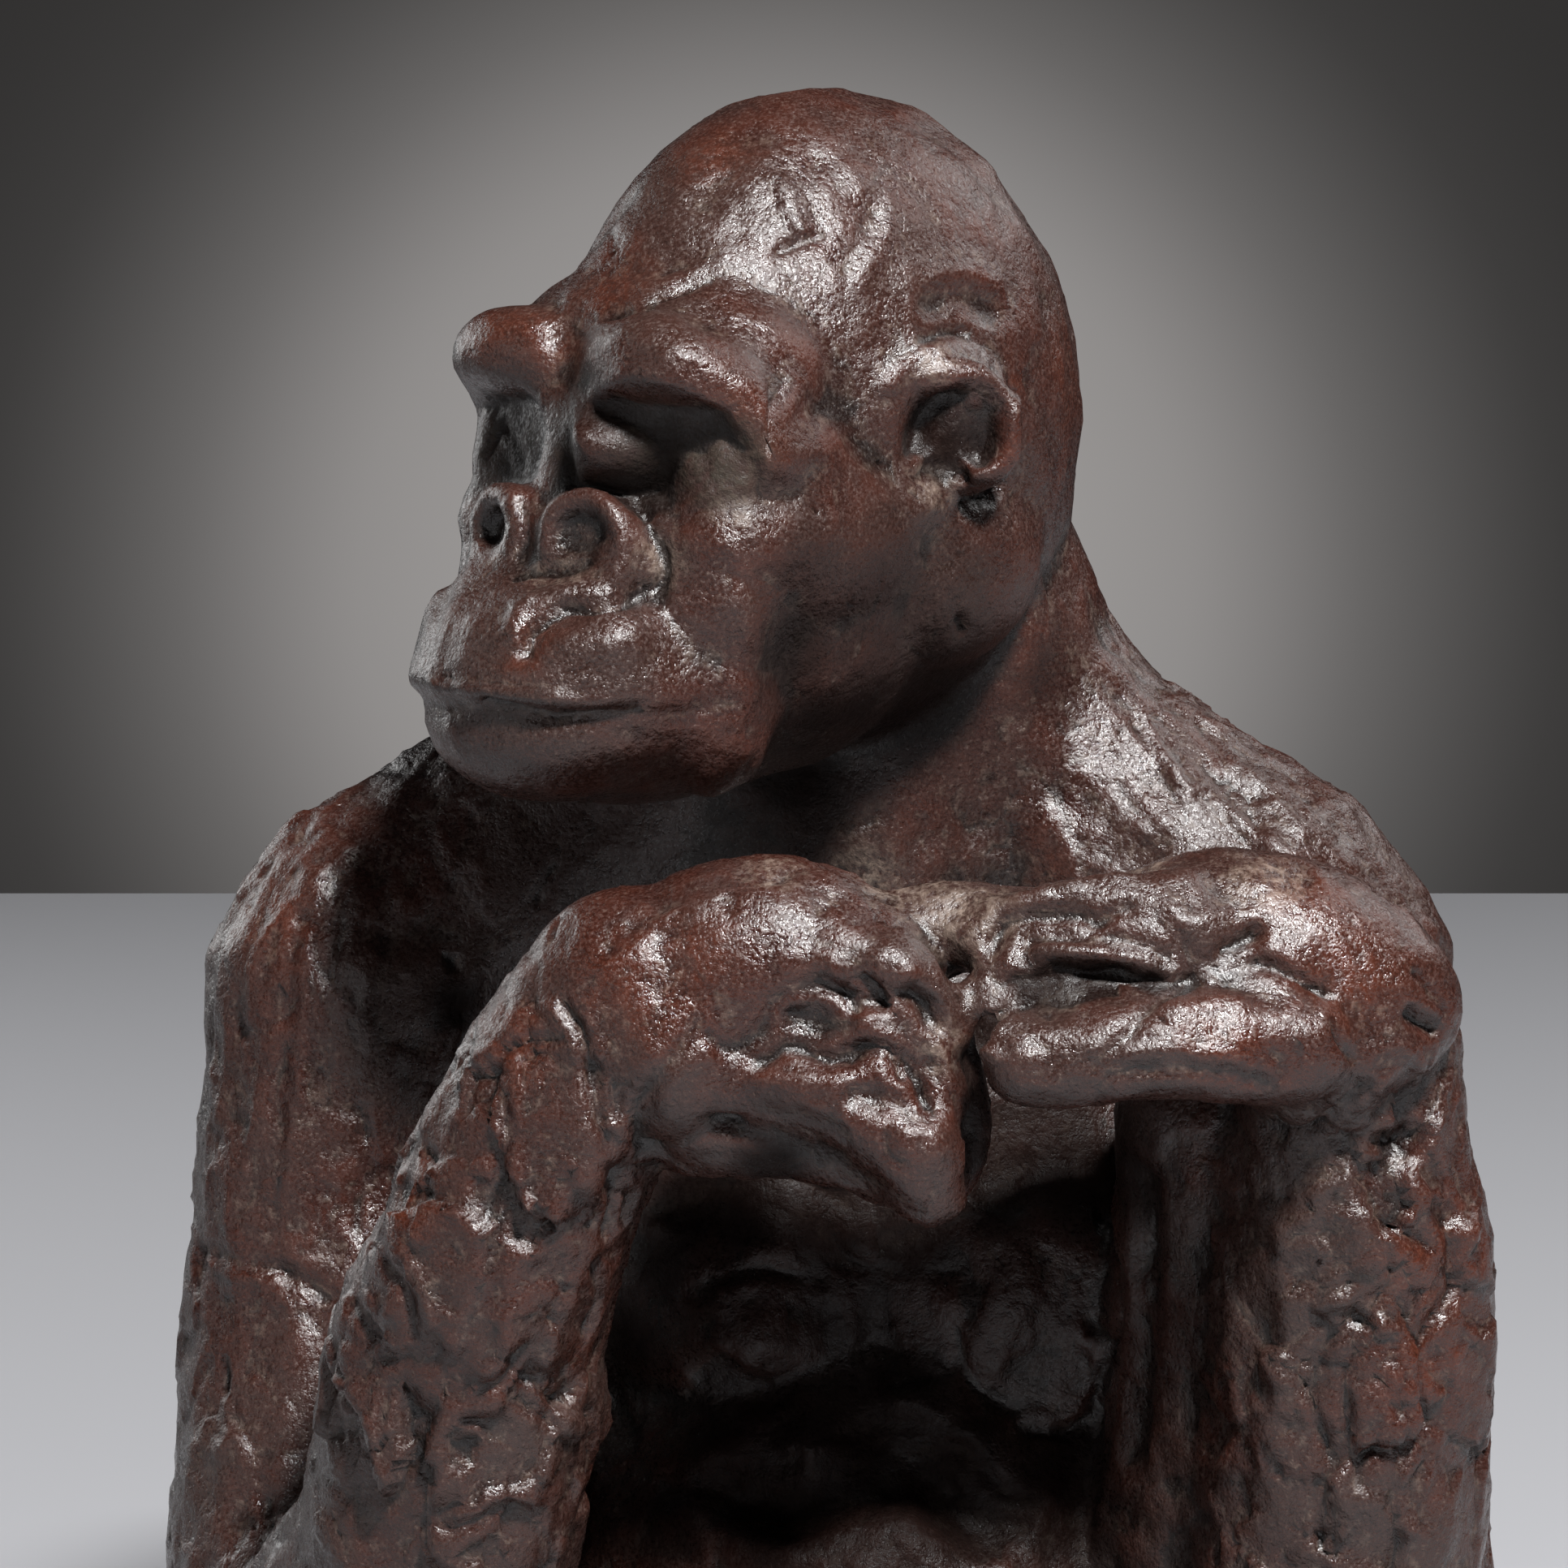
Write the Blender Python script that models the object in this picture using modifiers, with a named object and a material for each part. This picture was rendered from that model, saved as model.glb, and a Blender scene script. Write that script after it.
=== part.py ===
"""Seated gorilla, a solid clay-and-plaster figure modelled in one piece.

The figure squats with its knees drawn up and its elbows on them, both wrists bent
under the chin and the head turned over its right shoulder. The masses are laid on
like pellets of clay, as balls and tapering rolls, pressed into one skin, worked
with strokes of a modelling tool and cut flat underneath.

Metres, +Z up, the chest facing -Y, the origin under the middle of the figure.
"""

import math

import bmesh
import bpy
import numpy as np
from mathutils import Euler, Matrix, Vector
from mathutils.bvhtree import BVHTree

NAME = "gorilla_figure"
MM = 0.001

# Overall sizes. The finished masses are brought to these, and every size below keeps
# its share of them.
FIGURE_WIDTH = 240 * MM
FIGURE_DEPTH = 218 * MM
FIGURE_HEIGHT = 350 * MM

# Fusing and finishing
BODY_VOXEL = 2.4 * MM
FINE_VOXEL = 1.1 * MM
WHOLE_VOXEL = 1.3 * MM
MOST_TRIANGLES = 11600
FINE_SHARE = 0.75


def mm(x, y, z):
    """A point or an offset given in millimetres."""
    return Vector((x, y, z)) * MM


# Armature: the joints that the clay is laid on
PELVIS = mm(2, 36, 44)
BELLY = mm(6, -6, 84)
CHEST = mm(6, 10, 148)
UPPER_BACK = mm(2, 40, 178)
NECK = mm(4, 22, 250)
HEAD = mm(-3, -12, 288)
HEAD_TURN = math.radians(45)

SHOULDER_R = mm(-83, 10, 188)
ELBOW_R = mm(-93, -14, 92)
WRIST_R = mm(-34, -84, 202)
SHOULDER_L = mm(82, 12, 188)
ELBOW_L = mm(91, -16, 88)
WRIST_L = mm(86, -70, 190)

HIP_SPREAD = 46 * MM
KNEE_R = mm(-72, -72, 60)
KNEE_L = mm(74, -70, 58)
ANKLE_R = mm(-56, -72, 20)
ANKLE_L = mm(60, -70, 20)

# Thickness of the masses
SHOULDER_RADIUS = 32 * MM
UPPER_ARM_RADIUS = 28 * MM
ELBOW_RADIUS = 26 * MM
FOREARM_RADIUS = 23 * MM
WRIST_RADIUS = 19 * MM
THIGH_RADIUS = 40 * MM
KNEE_RADIUS = 30 * MM
SHIN_RADIUS = 27 * MM
ANKLE_RADIUS = 22 * MM

# Head, in its own frame: x to its left, -y to its face, z up, from its centre
SKULL_WIDTH = 75 * MM
SKULL_LENGTH = 110 * MM
SKULL_HEIGHT = 116 * MM
EYE = mm(21, -60, 5)
EYE_DEPTH = 3.8 * MM
NOSTRIL = mm(10.5, -69, -11)
NOSTRIL_DEPTH = 4 * MM
EAR = mm(38, -8, 4)
EAR_HEIGHT = 25.5 * MM
EAR_FLARE = math.radians(32)


def clear_scene():
    for old in list(bpy.data.objects):
        bpy.data.objects.remove(old)


def ball(centre, radii, turn=(0, 0, 0)):
    """An ellipsoid of clay. turn is in degrees about x, y and z."""
    if not hasattr(radii, "__len__"):
        radii = (radii, radii, radii)
    angles = Euler([math.radians(a) for a in turn])
    shape = Matrix.Translation(centre) @ angles.to_matrix().to_4x4() @ Matrix.Diagonal((*radii, 1))
    form = bmesh.new()
    bmesh.ops.create_uvsphere(form, u_segments=32, v_segments=20, radius=1, matrix=shape)
    mesh = bpy.data.meshes.new("ball")
    form.to_mesh(mesh)
    form.free()
    piece = bpy.data.objects.new("ball", mesh)
    bpy.context.collection.objects.link(piece)
    return piece


def smooth_path(points, steps=6):
    """Points on one smooth curve through the given ones, of any number of values each."""
    knots = [np.array(p, float) for p in points]
    knots = [2 * knots[0] - knots[1], *knots, 2 * knots[-1] - knots[-2]]
    curve = []
    for a, b, c, d in zip(knots, knots[1:], knots[2:], knots[3:]):
        for t in np.arange(steps) / steps:
            bend = (2 * a - 5 * b + 4 * c - d) * t**2 + (3 * b - a - 3 * c + d) * t**3
            curve.append(0.5 * (2 * b + (c - a) * t + bend))
    curve.append(knots[-2])
    return curve


def limb(*stations):
    """A tapering roll of clay through (centre, radius) stations, with rounded ends."""
    curve = bpy.data.curves.new("limb", "CURVE")
    curve.dimensions = "3D"
    curve.bevel_depth = 1
    curve.bevel_resolution = 6
    curve.use_fill_caps = True
    points = smooth_path([(*centre, radius) for centre, radius in stations])
    spline = curve.splines.new("POLY")
    spline.points.add(len(points) - 1)
    for point, (x, y, z, radius) in zip(spline.points, points):
        point.co = (x, y, z, 1)
        point.radius = radius
    piece = bpy.data.objects.new("limb", curve)
    bpy.context.collection.objects.link(piece)
    first, last = stations[0], stations[-1]
    return [as_mesh(piece), ball(*first), ball(*last)]


def as_mesh(piece):
    """The piece with its curve and modifiers made into one plain mesh."""
    bpy.context.view_layer.update()
    evaluated = piece.evaluated_get(bpy.context.evaluated_depsgraph_get())
    mesh = bpy.data.meshes.new_from_object(evaluated)
    plain = bpy.data.objects.new(piece.name, mesh)
    plain.matrix_world = piece.matrix_world
    for group in piece.vertex_groups:
        plain.vertex_groups.new(name=group.name)
    bpy.data.objects.remove(piece)
    bpy.context.collection.objects.link(plain)
    return plain


def flat_list(pieces):
    found = []
    for piece in pieces:
        found += flat_list(piece) if isinstance(piece, (list, tuple)) else [piece]
    return found


def join(pieces, name):
    """Several loose masses as one mesh, not yet fused."""
    form = bmesh.new()
    for piece in flat_list(pieces):
        piece.data.transform(piece.matrix_world)
        form.from_mesh(piece.data)
        bpy.data.objects.remove(piece)
    mesh = bpy.data.meshes.new(name)
    form.to_mesh(mesh)
    form.free()
    whole = bpy.data.objects.new(name, mesh)
    bpy.context.collection.objects.link(whole)
    return whole


def fuse(pieces, name, voxel, rounds):
    """The masses pressed into one skin, with the joins between them smoothed."""
    whole = join(pieces, name)
    remesh = whole.modifiers.new("fuse", "REMESH")
    remesh.mode = "VOXEL"
    remesh.voxel_size = voxel
    smooth = whole.modifiers.new("smooth", "SMOOTH")
    smooth.factor = 0.5
    smooth.iterations = rounds
    return as_mesh(whole)


def read_vectors(items, name):
    values = np.empty(len(items) * 3, np.float32)
    items.foreach_get(name, values)
    return values.reshape(-1, 3).astype(float)


def stroke(piece, path, radius, depth, push=None, sharp=1.0):
    """Draws a modelling tool along a path laid on the skin. A positive depth presses
    in and a negative one raises a ridge. push is the way that it presses, or None for
    straight in. A sharp above 1 narrows the mark."""
    mesh = piece.data
    points = read_vectors(mesh.vertices, "co")
    normals = read_vectors(mesh.vertices, "normal")
    skin = BVHTree.FromObject(piece, bpy.context.evaluated_depsgraph_get())
    line = smooth_path(path, 14) if len(path) > 1 else [np.array(path[0], float)]
    line = np.array([skin.find_nearest(Vector(p))[0] for p in line])
    near = np.all((points > line.min(0) - radius) & (points < line.max(0) + radius), axis=1)
    chosen = np.flatnonzero(near)
    away = np.linalg.norm(points[chosen][:, None, :] - line[None, :, :], axis=2)
    closest = away.argmin(1)
    nearness = np.clip(1 - (away.min(1) / radius) ** (2 / sharp), 0, 1)
    if push is None:
        facing = np.exp(-2 * (away / radius) ** 2).T @ normals[chosen]
        facing /= np.maximum(np.linalg.norm(facing, axis=1, keepdims=True), 1e-9)
        way = -facing[closest]
    else:
        way = np.array(Vector(push).normalized())[None, :]
    points[chosen] += way * (nearness**2 * depth)[:, None]
    mesh.vertices.foreach_set("co", points.astype(np.float32).ravel())
    mesh.update()


def both(point):
    """A place on the head and its mirror image."""
    return ((1, point), (-1, Vector((-point.x, point.y, point.z))))


def ear_masses(side):
    """A raised ring of ear round a hollow bowl, standing off the skull behind."""
    rim = []
    half = EAR_HEIGHT / 2
    centre = Vector((EAR.x * side, EAR.y, EAR.z))
    back = Vector((side * math.sin(EAR_FLARE), math.cos(EAR_FLARE), 0))
    for angle in range(-50, 205, 15):
        turn = math.radians(angle)
        place = centre + back * (math.cos(turn) * half * 0.82)
        place.z += math.sin(turn) * half * 0.82
        rim.append((place, 3.7 * MM))
    cup = ball(centre + mm(side * -2, 3, 0), (5 * MM, half * 0.8, half * 0.8), (0, 0, side * -32))
    lobe = ball(centre + mm(side * -3, -4, -12), (4 * MM, 8 * MM, 4 * MM))
    return [limb(*rim), cup, lobe]


def nostril_ring(side):
    """The rolled rim of one round nostril."""
    ring = []
    for angle in range(0, 361, 30):
        out, up = math.cos(math.radians(angle)), math.sin(math.radians(angle))
        rim = NOSTRIL + mm(6.9 * out, 3 + 1.8 * out + 0.6 * up, 5.5 * up)
        ring.append((Vector((side * rim.x, rim.y, rim.z)), 2.7 * MM))
    return limb(*ring)


def head():
    """The head in its own frame, before it is turned and set on the neck."""
    half_width, half_length, half_height = SKULL_WIDTH / 2, SKULL_LENGTH / 2, SKULL_HEIGHT / 2
    masses = [
        ball(mm(0, 0, 4.5), (half_width, half_length, half_height)),
        ball(mm(0, -38, 14), (half_width - 4 * MM, 22 * MM, 20 * MM)),
        ball(mm(0, -34, -6), (half_width, 27 * MM, 30 * MM)),
        ball(mm(0, -24, -26), (half_width - 3 * MM, 42 * MM, 31 * MM)),
        ball(mm(0, -59, -36), (30 * MM, 26.5 * MM, 21 * MM)),
        ball(mm(0, -49, -38), (33 * MM, 28 * MM, 21 * MM)),
        ball(mm(0, -64, -44), (23 * MM, 20 * MM, 13 * MM)),
        ball(mm(0, -57, -11.5), (17 * MM, 10 * MM, 7.5 * MM)),
        limb((mm(-4, -56, 12), 6 * MM), (mm(0, -56, 4), 7 * MM), (mm(0, -57, -6), 8 * MM)),
        limb((mm(4, -56, 12), 6 * MM), (mm(0, -56, 4), 7 * MM), (mm(0, -57, -6), 8 * MM)),
    ]
    for side in (-1, 1):
        masses += [
            limb(
                (mm(side * 4, -53, 17), 8.5 * MM),
                (mm(side * 19, -56.5, 17.5), 8.5 * MM),
                (mm(side * 29, -51, 13), 7 * MM),
                (mm(side * 31, -46, 3), 5.5 * MM),
            ),
            ball(mm(side * 27, -42, -12), (11.5 * MM, 17 * MM, 11 * MM)),
            ball(mm(side * 25, -46, -22), (10.5 * MM, 15 * MM, 15 * MM)),
            ball(mm(side * 23, -49, -38), (10 * MM, 12 * MM, 18 * MM)),
            ball(mm(side * 26, -28, -13), (13 * MM, 25 * MM, 17 * MM)),
            ball(mm(side * 24, 2, -17), (14 * MM, 26 * MM, 22 * MM)),
            ball(mm(side * 24, -50, 1), (11 * MM, 9 * MM, 9 * MM)),
            ball(mm(side * 15, -66, -28), (12 * MM, 10 * MM, 9 * MM)),
            nostril_ring(side),
            limb(
                (mm(side * 18, -58, -11), 4.2 * MM),
                (mm(side * 18, -61, -16), 4 * MM),
                (mm(side * 12, -70, -20.5), 3.2 * MM),
                (mm(side * 7, -77, -26), 3 * MM),
            ),
            ear_masses(side),
        ]
    shape = fuse(masses, "head", FINE_VOXEL, 4)
    for side, eye in both(EYE):
        inner, outer = eye + mm(side * -5, 0, 0), eye + mm(side * 8, 6, -1)
        stroke(shape, [inner, outer], 12 * MM, EYE_DEPTH, (0, 1, 0.25))
    for side, nostril in both(NOSTRIL):
        stroke(shape, [nostril + mm(0, 3, 0)], 5.4 * MM, NOSTRIL_DEPTH, (side * -0.1, 1, 0.15))
    for side, ear in both(EAR):
        inward = (side * -0.85, 0.53, 0)
        bowl = ear + mm(side * 4, -2, 0)
        stroke(shape, [bowl + mm(side * -2, -4, -1), bowl + mm(side * 2, 4, -1)], 7.5 * MM, 5 * MM, inward)
        stroke(shape, [bowl + mm(side * -1, -3, 2), bowl + mm(0, 0, -3)], 4.5 * MM, 2.5 * MM, inward)
        below = ear + mm(side * 6, 6, -14)
        stroke(shape, [below + mm(0, -3, 1), below + mm(0, 3, 1)], 4 * MM, 4 * MM, (-side, 0.3, 0))
    for side in (-1, 1):
        fold = [mm(side * 11, -80, -28), mm(side * 15, -75, -25), mm(side * 19, -70, -22.5), mm(side * 23, -62, -20)]
        stroke(shape, fold, 2.4 * MM, 1.6 * MM)
    mouth = [
        mm(-26, -70, -43), mm(-20, -78, -41), mm(-10, -84, -40.5), mm(0, -86, -40),
        mm(10, -84, -40.5), mm(20, -78, -41), mm(26, -70, -43),
    ]
    stroke(shape, mouth, 3.6 * MM, 2.4 * MM)
    lip = [point + mm(0, 0, 5) for point in mouth[1:-1]]
    stroke(shape, lip, 5 * MM, -0.6 * MM)
    stroke(shape, [point + mm(0, 1, 9.5) for point in mouth[1:-1]], 5 * MM, 0.8 * MM)
    stroke(shape, [mm(0, -64, 26), mm(0, -64, 17)], 7 * MM, 2 * MM)
    shape.data.transform(Matrix.Translation(HEAD) @ Matrix.Rotation(-HEAD_TURN, 4, "Z"))
    return shape


def torso():
    neck_radius = 41 * MM
    return [
        ball(PELVIS, (76 * MM, 50 * MM, 50 * MM)),
        ball(PELVIS + mm(0, 2, 56), (76 * MM, 44 * MM, 62 * MM)),
        ball(PELVIS + mm(0, -50, -18), (54 * MM, 48 * MM, 40 * MM)),
        ball(BELLY, (62 * MM, 50 * MM, 54 * MM)),
        ball(CHEST, (80 * MM, 44 * MM, 64 * MM)),
        ball(UPPER_BACK, (82 * MM, 44 * MM, 64 * MM)),
        ball(CHEST + mm(-20, -30, -10), (25 * MM, 21 * MM, 27 * MM)),
        ball(CHEST + mm(24, -29, -12), (26 * MM, 22 * MM, 31 * MM)),
        ball(BELLY + mm(0, -22, 6), (40 * MM, 34 * MM, 26 * MM)),
        ball(CHEST + mm(-60, 2, -40), (26 * MM, 28 * MM, 56 * MM)),
        ball(CHEST + mm(58, 2, -44), (26 * MM, 28 * MM, 56 * MM)),
        limb(
            (UPPER_BACK + mm(0, -4, 20), 48 * MM),
            (NECK, neck_radius),
            (HEAD + mm(11, 26, -8), 36 * MM),
            (HEAD + mm(10, 17, 16), 32 * MM),
        ),
        limb(
            (SHOULDER_R + mm(3, 2, 5), 31 * MM),
            (SHOULDER_R + mm(26, 8, 21), 30 * MM),
            (NECK + mm(-30, 0, -18), 33 * MM),
            (NECK, 39 * MM),
        ),
        limb(
            (SHOULDER_L + mm(-9, 0, 9.5), 32 * MM),
            (SHOULDER_L + mm(-45, 10, 36), 30 * MM),
            (NECK + mm(8, 0, 0), 38 * MM),
        ),
    ]


def leg(hip, knee, ankle, side):
    """A thigh, a shin and a long foot flat on the ground."""
    foot = Vector((ankle.x, ankle.y, 0))
    return [
        limb((hip, THIGH_RADIUS), ((hip + knee) / 2, THIGH_RADIUS * 0.9), (knee, KNEE_RADIUS)),
        limb((knee, KNEE_RADIUS), ((knee + ankle) / 2 + mm(0, 4, 0), SHIN_RADIUS), (ankle, ANKLE_RADIUS)),
        ball(foot + mm(side * 3, -16, 10), (24 * MM, 44 * MM, 20 * MM), (0, 0, side * 6)),
        ball(foot + mm(0, 14, 10), (21 * MM, 20 * MM, 20 * MM)),
        [
            limb(
                (foot + mm(side * (10 * toe - 14), -36, 10), 8 * MM),
                (foot + mm(side * (10.6 * toe - 14), -56 + 2.5 * abs(toe - 1.2), 7), 7 * MM),
            )
            for toe in range(4)
        ],
        limb((foot + mm(side * -20, -12, 9), 9 * MM), (foot + mm(side * -28, -34, 7), 8 * MM)),
    ]


def legs():
    return [
        leg(PELVIS + Vector((-HIP_SPREAD, 0, 0)), KNEE_R, ANKLE_R, -1),
        leg(PELVIS + Vector((HIP_SPREAD, 0, 0)), KNEE_L, ANKLE_L, 1),
    ]


def arm_r():
    """The right arm: a heavy upper arm, and a forearm leaning inward up to the wrist."""
    return [
        limb(
            (SHOULDER_R, SHOULDER_RADIUS),
            ((SHOULDER_R + ELBOW_R) / 2 + mm(-1, 3, 4), UPPER_ARM_RADIUS),
            (ELBOW_R, UPPER_ARM_RADIUS),
            (ELBOW_R + mm(4, -20, -20), ELBOW_RADIUS),
        ),
        limb(
            (ELBOW_R + mm(8, -26, -22), ELBOW_RADIUS),
            (ELBOW_R + mm(25, -52, 14), ELBOW_RADIUS * 0.96),
            (ELBOW_R + mm(31, -60, 50), FOREARM_RADIUS * 1.02),
            (ELBOW_R + mm(40, -66, 77), FOREARM_RADIUS * 0.9),
            (ELBOW_R + mm(49, -68, 96), FOREARM_RADIUS * 0.84),
            (WRIST_R, WRIST_RADIUS),
        ),
    ]


def arm_l():
    """The left arm: its forearm stands upright, close in front of the upper arm."""
    return [
        limb(
            (SHOULDER_L, SHOULDER_RADIUS * 0.97),
            ((SHOULDER_L + ELBOW_L) / 2 + mm(1, 3, 2), UPPER_ARM_RADIUS),
            (ELBOW_L, UPPER_ARM_RADIUS),
            (ELBOW_L + mm(-2, -18, -18), ELBOW_RADIUS),
        ),
        limb(
            (ELBOW_L + mm(-4, -26, -22), ELBOW_RADIUS),
            (ELBOW_L + mm(-6, -40, 4), ELBOW_RADIUS),
            (ELBOW_L + mm(-4, -46, 50), FOREARM_RADIUS * 1.1),
            (WRIST_L, WRIST_RADIUS),
        ),
        limb(
            (ELBOW_L + mm(-18, -22, -10), 25 * MM),
            (ELBOW_L + mm(-19, -26, 40), 25 * MM),
            (ELBOW_L + mm(-20, -30, 84), 23 * MM),
        ),
    ]


def hand_r():
    """The right hand hangs from its bent wrist, its fingers pointing across and down."""
    return [
        ball(mm(-14, -84, 206), (28 * MM, 20 * MM, 20 * MM), (0, -6, 0)),
        ball(mm(-26, -86, 196), (20 * MM, 19 * MM, 20 * MM)),
        ball(mm(2, -88, 204), (15 * MM, 15 * MM, 17 * MM)),
        limb((mm(0, -96, 210), 8 * MM), (mm(9, -99, 208), 6.5 * MM), (mm(17, -98, 200), 5 * MM)),
        limb((mm(2, -99, 200), 7 * MM), (mm(10, -101, 198), 6 * MM), (mm(17, -100, 188), 4.5 * MM)),
        limb((mm(2, -101, 193), 5 * MM), (mm(9, -103, 190), 5 * MM)),
        limb(
            (mm(-16, -95, 192), 9 * MM),
            (mm(2, -101, 188), 8.5 * MM),
            (mm(11, -103, 181), 9 * MM),
            (mm(13, -102, 174), 7.5 * MM),
        ),
        limb((mm(16, -90, 196), 6 * MM), (mm(19, -91, 182), 6 * MM), (mm(17, -90, 173), 5 * MM)),
        limb((mm(-22, -88, 184), 11 * MM), (mm(-4, -92, 181), 9 * MM), (mm(8, -95, 176), 8 * MM)),
        limb((mm(10, -84, 212), 9 * MM), (mm(20, -84, 214), 8 * MM), (mm(30, -84, 213), 8 * MM)),
    ]


def hand_l():
    """The left hand lies bent across the chest, its thumb before the curled fingers."""
    return [
        ball(mm(74, -80, 207), (31 * MM, 19 * MM, 17 * MM), (0, 22, 0)),
        ball(mm(58, -82, 210), (24 * MM, 18 * MM, 14 * MM)),
        ball(mm(80, -82, 196), (20 * MM, 17 * MM, 16 * MM)),
        limb((mm(56, -90, 219), 6 * MM), (mm(38, -92, 218), 5.2 * MM), (mm(22, -91, 213), 5 * MM)),
        limb((mm(58, -94, 211), 6.5 * MM), (mm(40, -97, 210), 5 * MM), (mm(26, -96, 205), 5.2 * MM)),
        limb((mm(30, -86, 208), 7 * MM), (mm(40, -88, 204), 8 * MM)),
        limb((mm(28, -90, 212), 5.5 * MM), (mm(42, -93, 214), 6 * MM), (mm(58, -93, 214), 7 * MM)),
        limb((mm(74, -97, 196), 10 * MM), (mm(52, -103, 197), 9 * MM), (mm(30, -105, 195), 7.5 * MM)),
    ]


def work_over(figure):
    """Creases, folds and edges drawn over the finished masses."""
    sternum = [mm(5, -60, 176), mm(4, -60, 150), mm(3, -60, 128)]
    stroke(figure, sternum, 9 * MM, 2.5 * MM)
    under_chest = [mm(-30, -60, 113), mm(-10, -62, 118), mm(4, -62, 122), mm(14, -60, 123), mm(32, -60, 112)]
    stroke(figure, under_chest, 9 * MM, 6 * MM)
    chest_edge = [mm(-25, -60, 127), mm(-10, -66, 130), mm(6, -66, 132), mm(20, -62, 127)]
    stroke(figure, chest_edge, 8 * MM, -2.5 * MM)
    over_chest = [mm(-24, -62, 147), mm(-14, -64, 150), mm(0, -64, 150), mm(12, -62, 151)]
    stroke(figure, over_chest, 5 * MM, 2.5 * MM)
    beside_chest = [mm(47, -60, 165), mm(48, -60, 140), mm(42, -60, 118)]
    stroke(figure, beside_chest, 6 * MM, 3 * MM)
    for top, low in ((mm(3, -95, 205), mm(16, -110, 195)), (mm(3, -106, 189), mm(14, -110, 187))):
        stroke(figure, [top, low], 3 * MM, 2.5 * MM)
    spine = [mm(5, 80, 226), mm(3, 100, 200), mm(2, 100, 150), mm(2, 100, 100), mm(2, 100, 62)]
    stroke(figure, spine, 14 * MM, 3.5 * MM)
    for side in (-1, 1):
        blade = [mm(side * 28, 90, 168), mm(side * 48, 84, 152), mm(side * 70, 66, 156), mm(side * 84, 50, 172)]
        stroke(figure, blade, 12 * MM, 3 * MM)


def cut_flat(piece):
    """Trims the figure flat at z = 0, so that it stands."""
    form = bmesh.new()
    form.from_mesh(piece.data)
    everything = form.verts[:] + form.edges[:] + form.faces[:]
    bmesh.ops.bisect_plane(form, geom=everything, plane_co=(0, 0, 0), plane_no=(0, 0, 1), clear_inner=True)
    rim = [edge for edge in form.edges if edge.is_boundary]
    bmesh.ops.holes_fill(form, edges=rim, sides=0)
    bmesh.ops.recalc_face_normals(form, faces=form.faces[:])
    form.to_mesh(piece.data)
    form.free()


def fit_to_size(piece):
    """Brings the whole figure to its overall sizes, about the origin."""
    points = read_vectors(piece.data.vertices, "co")
    width, depth = np.ptp(points[:, 0]), np.ptp(points[:, 1])
    piece.data.transform(Matrix.Diagonal((
        FIGURE_WIDTH / width, FIGURE_DEPTH / depth, FIGURE_HEIGHT / points[:, 2].max(), 1,
    )))


def thin_out(piece):
    """Brings the facets down to the count that the figure needs, and leaves the most of
    them on the head and the hands."""
    triangles = sum(len(face.vertices) - 2 for face in piece.data.polygons)
    points = read_vectors(piece.data.vertices, "co")
    plainness = np.full(len(points), 1.0)
    for centre, reach in ((HEAD + mm(-24, -24, -16), 74 * MM), (WRIST_R + mm(20, -14, -4), 48 * MM),
                          (WRIST_L + mm(-26, -24, 14), 56 * MM)):
        away = np.linalg.norm(points - np.array(centre), axis=1)
        plainness = np.minimum(plainness, np.clip(FINE_SHARE + (away - reach) / (12 * MM), FINE_SHARE, 1))
    group = piece.vertex_groups.new(name="plain")
    for level in np.unique(np.round(plainness, 1)):
        chosen = np.flatnonzero(np.round(plainness, 1) == level)
        group.add(chosen.tolist(), float(level), "REPLACE")
    decimate = piece.modifiers.new("thin", "DECIMATE")
    decimate.ratio = MOST_TRIANGLES / triangles
    decimate.vertex_group = group.name
    decimate.vertex_group_factor = 1.0
    return as_mesh(piece)


def clay():
    material = bpy.data.materials.new("dark_brown_patina")
    material.use_nodes = True
    shader = material.node_tree.nodes["Principled BSDF"]
    shader.inputs["Base Color"].default_value = (0.055, 0.033, 0.028, 1)
    shader.inputs["Roughness"].default_value = 0.42
    shader.inputs["Metallic"].default_value = 0
    return material


def main():
    clear_scene()
    body = fuse([torso(), legs(), arm_r(), arm_l()], "body", BODY_VOXEL, 8)
    hands = fuse([hand_r(), hand_l()], "hands", FINE_VOXEL, 2)
    figure = fuse([body, hands, head()], NAME, WHOLE_VOXEL, 2)
    work_over(figure)
    figure = thin_out(figure)
    cut_flat(figure)
    fit_to_size(figure)
    figure.name = NAME
    figure.data.name = NAME
    figure.data.materials.append(clay())
    figure.data.shade_smooth()


main()
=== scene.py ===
"""Seated gorilla figure in patinated clay: its worked surface, its finish and the studio.

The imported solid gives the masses. Here its skin is made finer and then worked like
clay: the folds of the face and the fingers are cut in along lines read off the
photograph, pellets and tool marks are pressed on, and the finish is laid over it.
"""

import math

import bpy
import numpy as np
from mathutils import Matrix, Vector
from mathutils.bvhtree import BVHTree

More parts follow.
